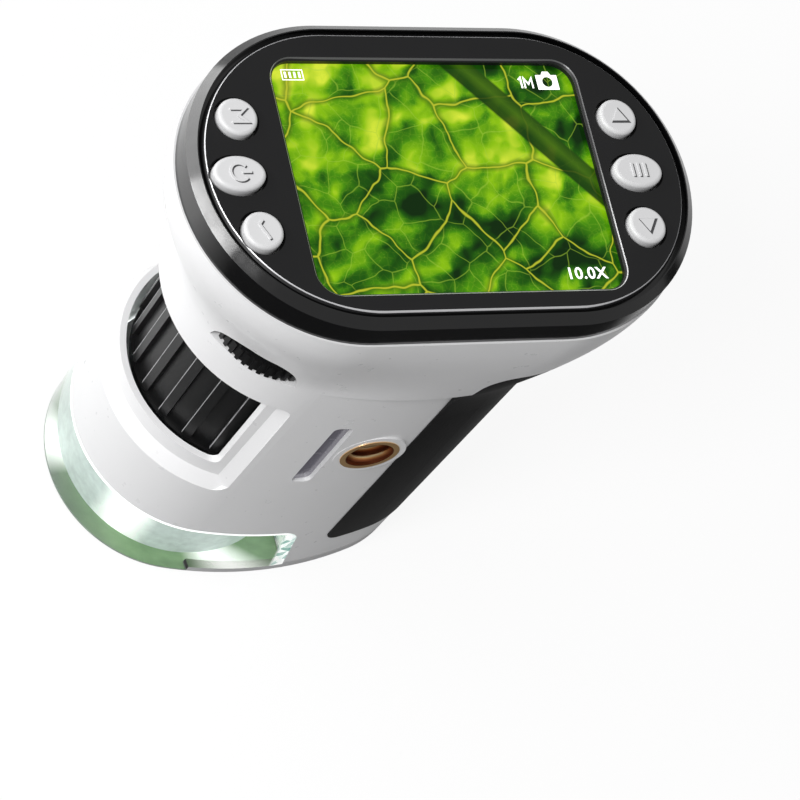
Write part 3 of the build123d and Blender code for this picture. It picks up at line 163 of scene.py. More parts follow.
# ---------------------------------------------------------------- material kit
class Graph:
    """One material's node tree, with short calls for the nodes used here."""

    def __init__(self, name):
        self.material = bpy.data.materials.new(name)
        self.material.use_nodes = True
        self.tree = self.material.node_tree
        self.tree.nodes.clear()
        self.output = self.tree.nodes.new("ShaderNodeOutputMaterial")
        place = self.tree.nodes.new("ShaderNodeTexCoord").outputs["Object"]
        self.place = self.vector("SCALE", place, scale=1 / MM)

    def node(self, kind, inputs=None, **settings):
        """Adds a node; an input is a value or another node's output."""
        made = self.tree.nodes.new(kind)
        for key, value in settings.items():
            setattr(made, key, value)
        for key, value in (inputs or {}).items():
            if isinstance(value, bpy.types.NodeSocket):
                self.tree.links.new(value, made.inputs[key])
            elif value is not None:
                made.inputs[key].default_value = value
        return made

    def vector(self, operation, a, b=None, scale=None):
        made = self.node("ShaderNodeVectorMath", {0: a, 1: b}, operation=operation)
        if scale is not None:
            made.inputs["Scale"].default_value = scale
        return made.outputs["Value" if operation == "LENGTH" else "Vector"]

    def math(self, operation, a, b=None):
        return self.node("ShaderNodeMath", {0: a, 1: b}, operation=operation).outputs[0]

    def times(self, *values):
        """Product of two or more values."""
        product = values[0]
        for value in values[1:]:
            product = self.math("MULTIPLY", product, value)
        return product

    def total(self, *parts):
        """Sum of values, each with its weight."""
        level = 0.0
        for value, weight in parts:
            level = self.math("ADD", self.math("MULTIPLY", value, weight), level)
        return level

    def split(self, vector):
        return self.node("ShaderNodeSeparateXYZ", {0: vector}).outputs

    def noise(self, size, detail=2.0, at=None):
        """Noise with features about this many millimetres across."""
        made = self.node("ShaderNodeTexNoise", {
            "Vector": at or self.place, "Scale": 1 / size, "Detail": detail})
        return made.outputs["Fac"]

    def step(self, value, low, high, to_low=0.0, to_high=1.0):
        """Straight ramp from to_low at low to to_high at high, clamped."""
        made = self.node("ShaderNodeMapRange", {
            "Value": value, "From Min": low, "From Max": high,
            "To Min": to_low, "To Max": to_high})
        return made.outputs[0]

    def mix(self, share, a, b):
        """Mix of two colours."""
        made = self.node("ShaderNodeMix", data_type="RGBA")
        for socket, value in ((made.inputs[0], share), (made.inputs[6], a), (made.inputs[7], b)):
            if isinstance(value, bpy.types.NodeSocket):
                self.tree.links.new(value, socket)
            else:
                socket.default_value = value
        return made.outputs[2]

    def ramp(self, value, *stops):
        """Colour ramp through (position, colour) stops."""
        made = self.node("ShaderNodeValToRGB", {0: value})
        elements = made.color_ramp.elements
        elements[0].position, elements[0].color = stops[0]
        elements[1].position, elements[1].color = stops[-1]
        for position, colour in stops[1:-1]:
            elements.new(position).color = colour
        return made.outputs[0]

    def bump(self, height, depth):
        """Bump from a 0 to 1 height, in millimetres."""
        made = self.node("ShaderNodeBump", {"Height": height, "Distance": depth * MM})
        return made.outputs["Normal"]

    def principled(self, **inputs):
        """Principled shader; a name's underscores stand for spaces."""
        values = {key.replace("_", " "): value for key, value in inputs.items()}
        return self.node("ShaderNodeBsdfPrincipled", values).outputs[0]

    def layer(self, share, below, above):
        """Mix of two shaders."""
        return self.node("ShaderNodeMixShader", {0: share, 1: below, 2: above}).outputs[0]

    def finish(self, shader):
        """Puts the shader on the output and returns the material."""
        self.tree.links.new(shader, self.output.inputs["Surface"])
        return self.material


def rgb(red, green, blue):
    """Display colour, 0 to 255, as the linear colour that nodes hold."""
    def linear(value):
        value /= 255
        return value / 12.92 if value <= 0.04045 else ((value + 0.055) / 1.055) ** 2.4
    return linear(red), linear(green), linear(blue), 1.0


WHITE = rgb(255, 255, 255)


def shade(colour, share):
    """The same colour, lighter or darker."""
    return tuple(min(1.0, value * share) for value in colour[:3]) + (1.0,)


def moulded(name, colour, roughness, grain=0.25, depth=0.004, mottle=0.03, **inputs):
    """Moulded or machined surface: slight mottling, fine grain and uneven gloss."""
    graph = Graph(name)
    tone = graph.noise(7.0, 3)
    base = graph.mix(tone, shade(colour, 1 - mottle), shade(colour, 1 + mottle))
    gloss = graph.step(graph.noise(1.8, 3), 0.3, 0.7, roughness * 0.85, roughness * 1.15)
    fine = graph.bump(graph.noise(grain, 2), depth)
    return graph.finish(graph.principled(Base_Color=base, Roughness=gloss, Normal=fine, **inputs))


# ---------------------------------------------------------------- materials
def plate_material():
    """Dark satin plate whose chamfers are diamond cut to a thin bright line, with painted shade
    dimming that line where it is turned from the light.
    """
    graph = Graph("dark_plate")
    normal = graph.node("ShaderNodeNewGeometry").outputs["True Normal"]
    across, along, up = graph.split(normal)
    slope = graph.times(graph.step(up, 0.3, 0.4), graph.step(up, 0.9, 0.95, 1.0, 0.0))
    x, y, z = graph.split(graph.place)
    edge = graph.step(graph.math("ABSOLUTE", x), *CUT_LINE_SPAN,
                      FACE_Z - CUT_LINE, FACE_Z - CUT_LINE_ENDS)
    above = graph.step(graph.math("SUBTRACT", z, edge), 0, CUT_LINE_FADE)
    # painted shade: the cut line is dimmed on the window's top edge and the upper part of its
    # right edge, which are turned from the light
    top_painted_shade = graph.times(graph.step(along, -0.6, -0.3, 0.85, 0.0), graph.step(y, 0, 6))
    side_painted_shade = graph.times(graph.step(across, -0.6, -0.4, 0.8, 0.0),
                           graph.step(x, 5, 10), graph.step(y, -9, 1))
    painted_shade = graph.math("MAXIMUM", top_painted_shade, side_painted_shade)
    cut = graph.times(slope, above, graph.math("SUBTRACT", 1.0, painted_shade))
    dark = graph.mix(graph.noise(9.0, 3), rgb(20, 20, 21), rgb(25, 25, 26))
    return graph.finish(graph.principled(
        Base_Color=graph.mix(cut, dark, rgb(208, 208, 210)), Metallic=graph.times(cut, 0.35),
        Roughness=graph.step(cut, 0, 1, 0.42, 0.3), Specular_IOR_Level=0.3,
        Normal=graph.bump(graph.noise(0.18, 2), 0.003)))


def screen_material():
    """Lit display showing a generic leaf under magnification."""
    graph = Graph("screen")
    flat = graph.vector("MULTIPLY", graph.place, (1, 1, 0))
    drift = graph.node("ShaderNodeTexNoise", {
        "Vector": flat, "Scale": 1 / 6.0, "Detail": 2.0}).outputs["Color"]
    shift = graph.vector("SCALE", graph.vector("SUBTRACT", drift, (0.5, 0.5, 0.5)), scale=3.2)
    bent = graph.vector("ADD", flat, shift)
    x, y, _ = graph.split(flat)

    def cells(size, seed, feature, offset=(0, 0)):
        """Distances in a net of cells this many millimetres across."""
        place = graph.vector("ADD", bent, (seed + offset[0], 2 * seed + offset[1], 0))
        net = graph.node("ShaderNodeTexVoronoi", {
            "Vector": place, "Scale": 1 / size, "Randomness": 0.9},
            feature=feature, voronoi_dimensions="2D")
        return net.outputs["Distance"]

    def veins(size, width, seed):
        """1 on the walls of a net of cells, 0 inside them."""
        edge = cells(size, seed, "DISTANCE_TO_EDGE")
        return graph.step(edge, width / size * 0.3, width / size, 1.0, 0.0)

    def slope(size, seed):
        """Sunny side of the swollen cells at 1, their far side at 0."""
        here = cells(size, seed, "SMOOTH_F1")
        beside = cells(size, seed, "SMOOTH_F1", SUN_SHIFT)
        return graph.step(graph.math("SUBTRACT", here, beside), -0.17, 0.17)

    def near(cx, cy, reach):
        """1 at a place on the display, falling to 0 at a distance."""
        away = graph.vector("LENGTH", graph.vector("SUBTRACT", flat, (cx, cy, 0)))
        return graph.step(away, 0, reach, 1.0, 0.0)

    # light and dark fields: swollen cells lit from the upper left, sunny places, a long
    # dark fold, and a duller corner past the broad rib
    tilt = graph.math("ADD", graph.math("ADD", y, graph.times(x, FOLD_TILT)), FOLD_AT)
    fold = graph.times(graph.step(graph.math("ABSOLUTE", tilt), 0.5, 4.5, 1.0, 0.0),
                       graph.step(x, -16, -6))
    across = graph.total((x, BROAD_RIB_TURN[0]), (y, BROAD_RIB_TURN[1]))
    beyond = graph.step(across, BROAD_RIB_AT, BROAD_RIB_AT + 2.5)
    level = graph.total(
        *[(slope(size, seed), weight) for size, seed, weight in SWELLINGS],
        (graph.noise(9.0, 1, bent), 0.33),
        *[(near(*place), weight) for *place, weight in SUNNY_PLACES],
        (fold, -0.28), (beyond, -0.14), (1.0, 0.09))
    colour = graph.ramp(
        level, (0.20, rgb(6, 40, 2)), (0.38, rgb(28, 88, 3)), (0.56, rgb(72, 142, 4)),
        (0.74, rgb(138, 192, 8)), (0.95, rgb(216, 232, 60)))
    sunny = graph.step(level, 0.3, 0.6)
    # fine net and grain of the leaf's skin, only where it is lit
    net = graph.times(veins(*FINE_NET), sunny, 0.12)
    colour = graph.mix(net, colour, rgb(160, 206, 50))
    grain = graph.step(graph.noise(0.25, 2), 0.62, 0.74, 0.0, 0.3)
    colour = graph.mix(graph.times(grain, sunny), colour, rgb(170, 210, 60))
    # veins, the main ones on a dark bed
    colour = graph.mix(graph.times(veins(*SIDE_VEINS), 0.42), colour, rgb(160, 200, 60))
    colour = graph.mix(graph.times(veins(*MAIN_VEIN_SHADE), 0.55), colour, rgb(12, 58, 3))
    colour = graph.mix(graph.times(veins(*MAIN_VEINS), 0.92), colour, rgb(190, 196, 48))
    # the broad rib crosses from the top towards the right edge
    offset = graph.math("SUBTRACT", across, BROAD_RIB_AT)
    rib = graph.ramp(graph.step(offset, -BROAD_RIB_HALF, BROAD_RIB_HALF),
                     (0.0, rgb(14, 50, 3)), (0.3, rgb(24, 62, 5)),
                     (0.6, rgb(62, 100, 12)), (1.0, rgb(26, 64, 6)))
    share = graph.step(graph.math("ABSOLUTE", offset), BROAD_RIB_HALF - 0.3, BROAD_RIB_HALF,
                       0.94, 0.0)
    colour = graph.mix(share, colour, rib)
    return graph.finish(graph.principled(
        Base_Color=rgb(6, 9, 6), Roughness=0.08, Specular_IOR_Level=0.12,
        Emission_Color=colour, Emission_Strength=1.0))


def hood_material():
    """Clear plastic over a silvered cone and a green foot, which glow with painted light standing
    in for the lamps inside.
    """
    graph = Graph("clear_plastic")
    centred = graph.vector("SUBTRACT", graph.place, (AXIS_X, 0, 0))
    x, y, z = graph.split(centred)
    radius = graph.vector("LENGTH", graph.vector("MULTIPLY", centred, (1, 1, 0)))
    turn = graph.times(graph.math("ARCTAN2", y, x), LAMP_GLOWS)
    streaks = graph.noise(2.2, 3)
    frost = graph.noise(1.2, 4)

    def painted_glow_at(degrees, reach):
        """Painted glow at some places round the axis, standing in for the lamps behind them."""
        centre = math.radians(degrees) * LAMP_GLOWS
        wave = graph.math("COSINE", graph.math("SUBTRACT", turn, centre))
        return graph.math("POWER", graph.step(wave, reach, 1.0), 1.4)

    def lit(tone, strength, roughness=0.3):
        """Finish that glows with painted light, standing in for light from the lamps behind it.
        """
        return graph.principled(Base_Color=tone, Roughness=roughness,
                                Emission_Color=tone, Emission_Strength=strength)

    # silvered cone
    tone = graph.mix(frost, rgb(140, 150, 148), rgb(186, 196, 193))
    silver = lit(graph.mix(painted_glow_at(CONE_GLOW, 0.55), tone, rgb(255, 255, 253)), 0.75)
    # green foot, with painted shade at the far left
    tone = graph.mix(streaks, rgb(72, 104, 64), rgb(112, 142, 102))
    far_left_painted_shade = graph.step(x, -17, -8, 0.8, 0.0)
    tone = graph.mix(far_left_painted_shade, tone, rgb(66, 78, 68))
    green = lit(graph.mix(painted_glow_at(FOOT_GLOW, 0.5), tone, rgb(255, 255, 252)), 0.68)
    # white lip and grey rim, both glowing with painted light
    white = lit(graph.mix(frost, rgb(226, 232, 230), rgb(250, 252, 250)), 0.9)
    grey = lit(graph.mix(frost, rgb(96, 108, 98), rgb(130, 140, 132)), 0.4)
    # clear wall, with painted glints of light refracted at its right end
    clear = graph.principled(
        Base_Color=rgb(238, 246, 241), Roughness=0.03, IOR=1.16,
        Transmission_Weight=1.0, Coat_Weight=1.0, Coat_Roughness=0.03)
    glint_cells = graph.node("ShaderNodeTexVoronoi", {
        "Vector": graph.place, "Scale": 1 / 1.3, "Randomness": 1.0}).outputs["Color"]
    painted_glints = graph.ramp(graph.split(glint_cells)[0], (0.0, rgb(96, 150, 140)),
                       (0.3, rgb(226, 240, 236)), (0.75, WHITE))
    lean = graph.times(z, (HOOD_END[0] - HOOD_END[1]) / HOOD_TOP_Z)
    end_x = HOOD_END[0] - AXIS_X
    end = graph.step(graph.math("ADD", x, lean), end_x - 2.2, end_x - 1.6, 0.0, 0.75)
    skin = graph.layer(end, clear, lit(painted_glints, 0.7, 0.1))

    lip_z = HOOD_TOP_Z - HOOD_LIP
    skin = graph.layer(graph.step(z, lip_z, lip_z + 0.2), skin, white)
    skin = graph.layer(graph.step(z, HOOD_RIM_Z, HOOD_RIM_Z + 0.1, 1.0, 0.0), skin, grey)
    cone = graph.step(radius, THROAT_R + 0.1, THROAT_R + 0.3, 1.0, 0.0)
    skin = graph.layer(cone, skin, silver)
    normal = graph.node("ShaderNodeNewGeometry").outputs["True Normal"]
    level = graph.math("ABSOLUTE", graph.split(normal)[2])
    foot = graph.times(graph.step(level, 0.7, 0.8),
                       graph.step(z, HOOD_FOOT_Z, HOOD_FOOT_Z + 0.1, 1.0, 0.0))
    return graph.finish(graph.layer(foot, skin, green))


def wheel_material():
    """Black wheel; each rib of the focus wheel has a painted highlight along one edge."""
    graph = Graph("wheel_black")
    centred = graph.vector("SUBTRACT", graph.place, (AXIS_X, 0, 0))
    x, y, z = graph.split(centred)
    radius = graph.vector("LENGTH", graph.vector("MULTIPLY", centred, (1, 1, 0)))
    turn = graph.math("SUBTRACT", graph.math("ARCTAN2", y, x), math.radians(RIB_PHASE))
    spacing = 2 * math.pi / RIB_COUNT
    share = graph.math("FRACT", graph.math("ADD", graph.math("DIVIDE", turn, spacing), 0.5))
    off = graph.math("ABSOLUTE", graph.math("ADD", share, RIB_EDGE - 0.5))
    # painted highlight: a pale line along one edge of each rib
    painted_highlight = graph.times(
        graph.step(off, RIB_EDGE_HALF, RIB_EDGE_HALF + 0.008, 1.0, 0.0),
        graph.step(radius, WHEEL_RIB_R - 0.25, WHEEL_RIB_R - 0.15),
        graph.step(z, WHEEL_TOP_Z, WHEEL_TOP_Z + 0.1, 1.0, 0.0),
        graph.step(graph.noise(1.5, 2), 0.3, 0.5, 0.6, 1.0))
    tone = graph.mix(graph.noise(4.0, 3), rgb(11, 11, 12), rgb(15, 15, 16))
    return graph.finish(graph.principled(
        Base_Color=graph.mix(painted_highlight, tone, rgb(176, 176, 178)), Roughness=0.42,
        Specular_IOR_Level=0.6, Normal=graph.bump(graph.noise(0.2, 2), 0.003)))


def rubber_material():
    """Soft black rubber with a fine stipple."""
    graph = Graph("grip_rubber")
    stipple = graph.node("ShaderNodeTexVoronoi", {
        "Vector": graph.place, "Scale": 1 / 0.45, "Randomness": 1.0}).outputs["Distance"]
    tone = graph.mix(graph.noise(5.0, 3), rgb(17, 17, 18), rgb(23, 23, 24))
    return graph.finish(graph.principled(
        Base_Color=tone, Roughness=0.5, Specular_IOR_Level=0.3,
        Normal=graph.bump(stipple, 0.012)))


def board_material():
    """Green circuit board with tracks under the lacquer and tinned pads."""
    graph = Graph("circuit_board")
    tracks = graph.node("ShaderNodeTexBrick", {
        "Vector": graph.place, "Scale": 1 / 2.4, "Color1": rgb(18, 92, 50),
        "Color2": rgb(14, 80, 44), "Mortar": rgb(34, 126, 72), "Mortar Size": 0.05})
    pads = graph.node("ShaderNodeTexVoronoi", {
        "Vector": graph.place, "Scale": 1 / 1.9, "Randomness": 0.35}).outputs["Distance"]
    tinned = graph.step(pads, 0.12, 0.15, 1.0, 0.0)
    colour = graph.mix(tinned, tracks.outputs["Color"], rgb(200, 198, 186))
    return graph.finish(graph.principled(
        Base_Color=colour, Roughness=0.3, Metallic=tinned,
        Normal=graph.bump(tracks.outputs["Fac"], 0.02)))


def glass_material():
    """Clear lens glass with faint dust."""
    graph = Graph("lens_glass")
    dust = graph.step(graph.noise(0.6, 3), 0.62, 0.75, 0.02, 0.12)
    return graph.finish(graph.principled(
        Base_Color=rgb(246, 250, 255), Roughness=dust, IOR=1.5, Transmission_Weight=1.0))


def brass_material():
    """Turned brass with a painted highlight on the thread's crests, darker towards its roots."""
    graph = Graph("thread_brass")
    away = graph.vector("SUBTRACT", graph.place, (INSERT_AT[0], 0, INSERT_AT[1]))
    radius = graph.vector("LENGTH", graph.vector("MULTIPLY", away, (1, 0, 1)))
    tone = graph.mix(graph.noise(3.0, 3), rgb(238, 192, 136), rgb(250, 208, 150))
    # painted highlight on the thread's crests, falling to darker brass towards its roots
    inside = graph.ramp(graph.step(radius, INSERT_R - THREAD_DEPTH, INSERT_R),
                        (0.0, rgb(255, 236, 190)), (0.25, rgb(236, 176, 112)),
                        (0.6, rgb(168, 96, 54)), (1.0, rgb(110, 58, 34)))
    bore = graph.step(radius, INSERT_R + 0.03, INSERT_R + 0.08, 1.0, 0.0)
    return graph.finish(graph.principled(
        Base_Color=graph.mix(bore, tone, inside), Metallic=0.75, Roughness=0.32,
        Normal=graph.bump(graph.noise(0.3, 2), 0.003)))


def lamp_material():
    """Lit white lamps, slightly uneven."""
    graph = Graph("lamp")
    glow = graph.mix(graph.noise(0.8, 1), rgb(240, 250, 255), rgb(255, 255, 250))
    return graph.finish(graph.principled(
        Base_Color=rgb(240, 240, 230), Roughness=0.3,
        Emission_Color=glow, Emission_Strength=18.0))


def icon_material():
    """White lit marks on the display."""
    graph = Graph("icon_white")
    tone = graph.mix(graph.noise(0.4, 1), rgb(240, 242, 238), WHITE)
    return graph.finish(graph.principled(
        Base_Color=tone, Roughness=0.4, Emission_Color=tone, Emission_Strength=0.9))


MATERIALS = {
    "dark_plate": plate_material(),
    "gloss_black": moulded("gloss_black", rgb(9, 9, 10), 0.15, 1.5, 0.001, 0.05, IOR=1.6),
    "screen": screen_material(),
    "frosted_tray": moulded("frosted_tray", rgb(226, 228, 230), 0.5),
    "switch_metal": moulded("switch_metal", rgb(186, 188, 190), 0.3, Metallic=1.0),
    "circuit_board": board_material(),
    "chip_black": moulded("chip_black", rgb(28, 28, 30), 0.6, 0.1, 0.006),
    "white_shell": moulded("white_shell", rgb(234, 234, 235), 0.32, 0.5, 0.001, 0.012,
                           Coat_Weight=0.25, Coat_Roughness=0.15),
    "port_steel": moulded("port_steel", rgb(176, 178, 182), 0.28, 0.2, 0.002, Metallic=1.0),
    "wheel_black": wheel_material(),
    "lens_black": moulded("lens_black", rgb(20, 20, 21), 0.6, 0.15, 0.004),
    "lens_glass": glass_material(),
    "ribbon": moulded("ribbon", rgb(196, 128, 42), 0.4, 0.5, 0.004, 0.08),
    "grip_rubber": rubber_material(),
    "thread_brass": brass_material(),
    "smoky_window": moulded("smoky_window", rgb(128, 125, 137), 0.25, 0.5, 0.004, 0.10,
                            Coat_Weight=0.8, Coat_Roughness=0.08),
    "grey_cap": moulded("grey_cap", rgb(196, 196, 197), 0.4, 0.3, 0.004, 0.02),
    "clear_plastic": hood_material(),
    "white_inner": moulded("white_inner", rgb(228, 228, 226), 0.5),
    "lamp": lamp_material(),
    "cell_wrap": moulded("cell_wrap", rgb(54, 96, 160), 0.35, 0.6, 0.004, 0.05),
    "screw_steel": moulded("screw_steel", rgb(150, 151, 154), 0.3, 0.15, 0.004, 0.05,
                           Metallic=1.0),
    "key_grey": moulded("key_grey", rgb(214, 214, 215), 0.38, 0.3, 0.003, 0.02),
    "key_painted_shadow": moulded("key_painted_shadow", rgb(70, 70, 72), 0.5, 0.3, 0.003, 0.05),
    "icon_white": icon_material(),
}


def paint(obj, slot, finish=None):
    """Gives a piece one finish, its slot's own unless named."""
    obj.data.materials.clear()
    obj.data.materials.append(MATERIALS[finish or slot])


def paint_frame():
    """Every CAD node gets its slot's material."""
    for entry in frame["record"]["subparts"]:
        node = frame["nodes"][entry["node"]]
        node.data.materials.clear()
        node.data.materials.append(MATERIALS[entry["material_slot"]])


# ---------------------------------------------------------------- mesh kit
def add(name, data):
    """Links a new object to the scene."""
    obj = bpy.data.objects.new(name, data)
    bpy.context.scene.collection.objects.link(obj)
    return obj


def piece(name, mesh, slot, body=HOUSING, finish=None):
    """Object from a bmesh in millimetres, painted and riding on its body."""
    data = bpy.data.meshes.new(name)
    bmesh.ops.scale(mesh, vec=(MM, MM, MM), verts=mesh.verts)
    bmesh.ops.recalc_face_normals(mesh, faces=mesh.faces)
    mesh.to_mesh(data)
    mesh.free()
    obj = add(name, data)
    paint(obj, slot, finish)
    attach(obj, body)


def prism(mesh, outline, low_z, high_z):
    """Adds an upright prism on a closed outline of (x, y) points."""
    lower = [mesh.verts.new((x, y, low_z)) for x, y in outline]
    upper = [mesh.verts.new((x, y, high_z)) for x, y in outline]
    mesh.faces.new(lower[::-1])
    mesh.faces.new(upper)
    for n, vert in enumerate(lower):
        after = (n + 1) % len(lower)
        mesh.faces.new((vert, lower[after], upper[after], upper[n]))


def sweep(mesh, rings, closed):
    """Adds walls between rings of four verts, and caps at open ends."""
    pairs = list(zip(rings, rings[1:]))
    if closed:
        pairs.append((rings[-1], rings[0]))
    for a, b in pairs:
        for k in range(4):
            m = (k + 1) % 4
            mesh.faces.new((a[k], a[m], b[m], b[k]))
    if not closed:
        mesh.faces.new(rings[0][::-1])
        mesh.faces.new(rings[-1])


def stroke(mesh, points, width, low_z, high_z, closed=False):
    """Adds a line of even width through (x, y) points as one ribbon with thickness."""
    count = len(points)
    rings = []
    for n in range(count):
        here = Vector(points[n])
        before = Vector(points[n - 1]) if n or closed else None
        after = Vector(points[(n + 1) % count]) if n < count - 1 or closed else None
        into = (here - before).normalized() if before else (after - here).normalized()
        out = (after - here).normalized() if after else into
        along = (into + out).normalized()
        side = Vector((-along.y, along.x)) * width / 2 / max(0.35, along.dot(into))
        left, right = here + side, here - side
        rings.append([mesh.verts.new(place) for place in (
            (*left, low_z), (*right, low_z), (*right, high_z), (*left, high_z))])
    sweep(mesh, rings, closed)


def arc(x, y, radius, start, end, steps=16):
    """Points on an arc, in degrees."""
    turns = [math.radians(start + (end - start) * n / steps) for n in range(steps + 1)]
    return [(x + radius * math.cos(turn), y + radius * math.sin(turn)) for turn in turns]


def limits(node):
    """Lowest and highest corner of a node's box in millimetres."""
    low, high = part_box(node)
    return [value / MM for value in low], [value / MM for value in high]


# ---------------------------------------------------------------- keys
# Symbols as open or closed lines round (0, 0); +Y is their top.
MODE_LINES = [[(-0.9, -1.0), (-0.9, 1.0), (0, 0.0), (0.9, 1.0), (0.9, -1.0)]]
POWER_LINES = [arc(0, -0.1, 1.15, 130, 410), [(0, 0.2), (0, 1.45)]]
OK_LINES = [[(-1.3, 0.0), (-0.7, -0.5), (1.3, 0.5)]]
MENU_LINES = [[(step, -0.95), (step, 0.95)] for step in (-0.9, 0.0, 0.9)]
ARROW = [(-1.05, -0.7), (1.05, -0.7), (0, 1.0)]
KEY_SYMBOLS = {          # lines, quarter turns clockwise, closed outline
    "key_mode": (MODE_LINES, 1, False),
    "key_power": (POWER_LINES, 1, False),
    "key_ok": (OK_LINES, 1, False),
    "key_up": ([ARROW], 0, True),
    "key_menu": (MENU_LINES, 0, False),
    "key_down": ([ARROW], 2, True),
}


def turned(points, quarters):
    """Points turned clockwise by quarter turns."""
    for _ in range(quarters):
        points = [(y, -x) for x, y in points]
    return points


def key_symbols():
    """Raised symbols on the six keys with a painted shadow line on one side, riding on their
    keys.
    """
    for node, (lines, quarters, closed) in KEY_SYMBOLS.items():
        low, high = limits(node)
        x, y, top = (low[0] + high[0]) / 2, (low[1] + high[1]) / 2, high[2]
        raised = bmesh.new()
        painted_shadow = bmesh.new()
        for line in lines:
            points = [(x + px, y + py) for px, py in turned(line, quarters)]
            # painted shadow: a dark line beside each symbol, shifted to its lower right, standing
            # for the symbol's shadow
            beside = [(px + PAINTED_SHADOW_SHIFT[0], py + PAINTED_SHADOW_SHIFT[1]) for px, py in points]
            if closed:
                prism(raised, points, top - SYMBOL_H / 2, top + SYMBOL_H)
            else:
                stroke(raised, points, SYMBOL_LINE, top - SYMBOL_H / 2, top + SYMBOL_H)
            stroke(painted_shadow, beside, PAINTED_SHADOW_LINE, top - PAINTED_SHADOW_H, top + PAINTED_SHADOW_H, closed)
        body = node + "_button"
        piece(node + "_symbol", raised, "key_grey", body)
        piece(node + "_painted_shadow", painted_shadow, "key_grey", body, "key_painted_shadow")


# ---------------------------------------------------------------- screen icons
def text_piece(name, text, x, y, z, size):
    """Flat text on the screen as a mesh, its right end at x."""
    curve = bpy.data.curves.new(name, "FONT")
    curve.body = text
    curve.size = size * MM
    curve.extrude = ICON_T / 2 * MM
    curve.offset = 0.016 * size * MM
    curve.align_x = "RIGHT"
    curve.space_character = 1.08
    source = add(name + "_curve", curve)
    bpy.context.view_layer.update()
    data = bpy.data.meshes.new_from_object(source)
    bpy.data.objects.remove(source)
    data.transform(Matrix.Translation((x * MM, y * MM, (z + ICON_T / 2) * MM)))
    obj = add(name, data)
    paint(obj, "screen", "icon_white")
    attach(obj, HOUSING)


def screen_icons():
    """Battery, camera, picture size and magnification on the display."""
    (x0, y0, _), (x1, y1, top_z) = limits("lcd_panel")
    z = top_z + ICON_LIFT

    # battery: an outline with bars
    mesh = bmesh.new()
    left, top = x0 + BATTERY_IN[0], y1 - BATTERY_IN[1]
    right, foot = left + BATTERY_SIZE[0], top - BATTERY_SIZE[1]
    outline = [(left, top), (right, top), (right, foot), (left, foot)]
    stroke(mesh, outline, BATTERY_LINE, z, z + ICON_T, closed=True)
    for n in range(BATTERY_BARS):
        bar = left + BAR_START + BAR_PITCH * n
        ends = [(bar, top - BAR_SIZE), (bar, foot + BAR_SIZE)]
        stroke(mesh, ends, BAR_SIZE, z, z + ICON_T)
    piece("icon_battery", mesh, "screen", finish="icon_white")

    # camera: a body with a hump, and a dark lens
    mesh = bmesh.new()
    right, top = x1 - CAMERA_ICON_IN[0], y1 - CAMERA_ICON_IN[1]
    left, foot = right - CAMERA_ICON_SIZE[0], top - CAMERA_ICON_SIZE[1]
    hump_foot, hump_top, hump_h = CAMERA_ICON_HUMP
    prism(mesh, [(left, top), (left + hump_foot, top), (left + hump_top, top + hump_h),
                 (right - hump_top, top + hump_h), (right - hump_foot, top), (right, top),
                 (right, foot), (left, foot)], z, z + ICON_T)
    piece("icon_camera", mesh, "screen", finish="icon_white")
    mesh = bmesh.new()
    lens_down, lens_r = CAMERA_ICON_LENS
    rim = arc((left + right) / 2, top - lens_down, lens_r, 0, 345, 23)
    prism(mesh, rim, z + ICON_T, z + ICON_T + LENS_MARK_T)
    piece("icon_camera_lens", mesh, "screen")

    # picture size: 1M
    mesh = bmesh.new()
    foot = top - SIZE_FOOT
    for width, points in SIZE_LINES:
        points = [(right + px, foot + py) for px, py in points]
        stroke(mesh, points, width, z, z + ICON_T)
    piece("icon_size", mesh, "screen", finish="icon_white")
    text_piece("icon_zoom", "10.0X", x1 - ZOOM_IN[0], y0 + ZOOM_IN[1], z, ZOOM_SIZE)


# ---------------------------------------------------------------- tripod thread
def tripod_thread():
    """Helical ridge inside the brass insert."""
    low, high = limits("tripod_insert")
    x = (low[0] + high[0]) / 2
    z = (low[2] + high[2]) / 2
    outer = INSERT_R + THREAD_SINK
    start, end = low[1] + THREAD_IN, high[1] - THREAD_OUT
    steps = int((end - start - RIDGE_W) / THREAD_PITCH * THREAD_STEPS)
    mesh = bmesh.new()
    rings = []
    for n in range(steps + 1):
        turn = 2 * math.pi * n / THREAD_STEPS + math.radians(THREAD_START)
        along = start + THREAD_PITCH * n / THREAD_STEPS
        rise = min(1.0, n / THREAD_FADE, (steps - n) / THREAD_FADE)
        inner = outer - THREAD_DEPTH * max(THREAD_LOW, rise)
        section = ((outer, 0.0), (inner, RIDGE_CREST[0]), (inner, RIDGE_CREST[1]), (outer, 1.0))
        rings.append([mesh.verts.new((x + radius * math.cos(turn), along + share * RIDGE_W,
                                      z - radius * math.sin(turn)))
                      for radius, share in section])
    sweep(mesh, rings, closed=False)
    piece("tripod_thread", mesh, "thread_brass")


# ---------------------------------------------------------------- stage
def floor_material():
    """Pale floor, near white to the camera, that still takes the shadow."""
    graph = Graph("floor")
    path = graph.node("ShaderNodeLightPath").outputs
    seen = graph.math("MAXIMUM", path["Is Camera Ray"], path["Is Transmission Ray"])
    lit = graph.node("ShaderNodeBsdfDiffuse", {"Color": rgb(252, 252, 252)}).outputs[0]
    plain = graph.node("ShaderNodeEmission", {"Color": WHITE, "Strength": 1.0}).outputs[0]
    shown = graph.layer(FLOOR_WHITE, lit, plain)
    y = graph.split(graph.place)[1]
    mirrored = graph.mix(graph.step(y, *FLOOR_GLOSS_Y), rgb(60, 60, 60), WHITE)
    tone = graph.mix(path["Is Glossy Ray"], rgb(178, 178, 178), mirrored)
    bounce = graph.node("ShaderNodeBsdfDiffuse", {"Color": tone}).outputs[0]
    return graph.finish(graph.layer(seen, bounce, shown))


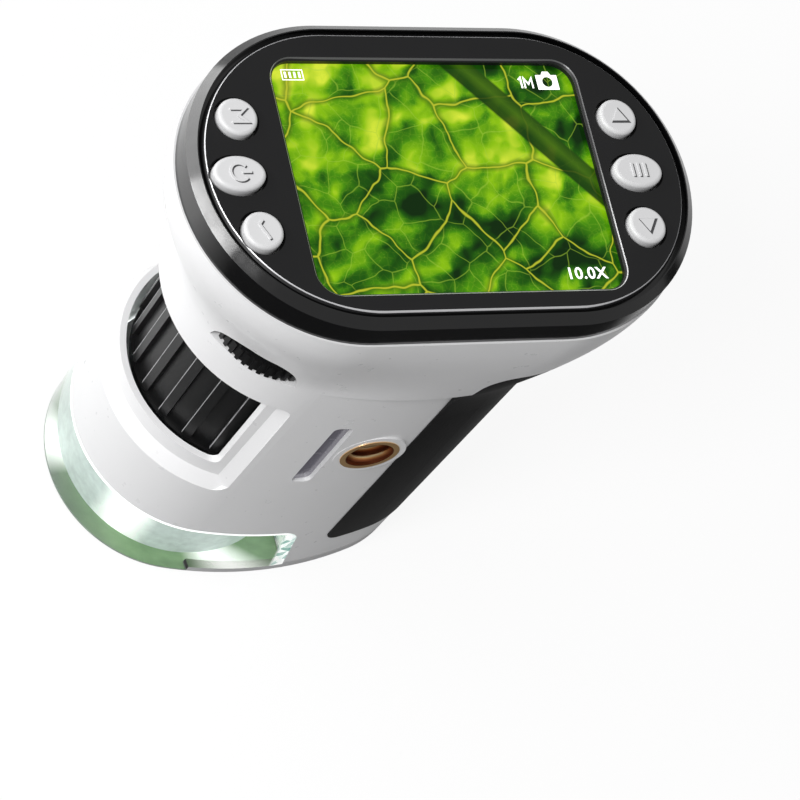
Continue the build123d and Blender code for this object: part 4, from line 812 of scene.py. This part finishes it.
def build_floor():
    """Floor just under the part."""
    data = bpy.data.meshes.new("floor")
    half, low = FLOOR_HALF * MM, -FLOOR_DROP * MM
    corners = [(-half, -half, low), (half, -half, low), (half, half, low), (-half, half, low)]
    data.from_pydata(corners, [], [(0, 1, 2, 3)])
    data.materials.append(floor_material())
    add("floor", data)


def light_world():
    """Even white surroundings, dimmer for light than for the camera."""
    world = bpy.data.worlds.new("studio")
    bpy.context.scene.world = world
    world.use_nodes = True
    tree = world.node_tree
    tree.nodes.clear()
    path = tree.nodes.new("ShaderNodeLightPath")
    strength = tree.nodes.new("ShaderNodeMapRange")
    strength.inputs["To Min"].default_value = WORLD_LIGHT
    back = tree.nodes.new("ShaderNodeBackground")
    back.inputs["Color"].default_value = WHITE
    out = tree.nodes.new("ShaderNodeOutputWorld")
    tree.links.new(path.outputs["Is Camera Ray"], strength.inputs["Value"])
    tree.links.new(strength.outputs[0], back.inputs["Strength"])
    tree.links.new(back.outputs[0], out.inputs[0])


def add_lamp(name, toward, distance, width, height, roll, power):
    """Softbox in a direction from the part, facing its middle."""
    offset = Vector(toward).normalized() * distance
    lamp = bpy.data.lights.new(name, "AREA")
    lamp.shape = "RECTANGLE"
    lamp.size = width
    lamp.size_y = height
    lamp.energy = power
    obj = add(name, lamp)
    turn = (-offset).to_track_quat("-Z", "Y").to_matrix().to_4x4()
    turn = turn @ Matrix.Rotation(math.radians(roll), 4, "Z")
    obj.matrix_world = Matrix.Translation(Vector(LAMP_TARGET) + offset) @ turn


def place_camera():
    """Camera at the product picture's angle."""
    data = bpy.data.cameras.new("camera")
    data.lens = CAMERA_LENS
    data.sensor_width = SENSOR_WIDTH
    data.clip_start = CAMERA_NEAR * MM
    camera = add("camera", data)
    right = Vector(CAMERA_RIGHT).normalized()
    up = -Vector(CAMERA_DOWN)
    up = (up - right * up.dot(right)).normalized()
    back = right.cross(up)
    turn = Matrix((right, up, back)).transposed().to_4x4()
    camera.matrix_world = Matrix.Translation(Vector(CAMERA_AT) * MM) @ turn
    bpy.context.scene.camera = camera


# ---------------------------------------------------------------- build
paint_frame()
key_symbols()
screen_icons()
tripod_thread()
build_floor()
light_world()
for lamp_name, settings in LAMPS.items():
    add_lamp(lamp_name, *settings)
place_camera()
bpy.context.scene.view_settings.view_transform = "Standard"
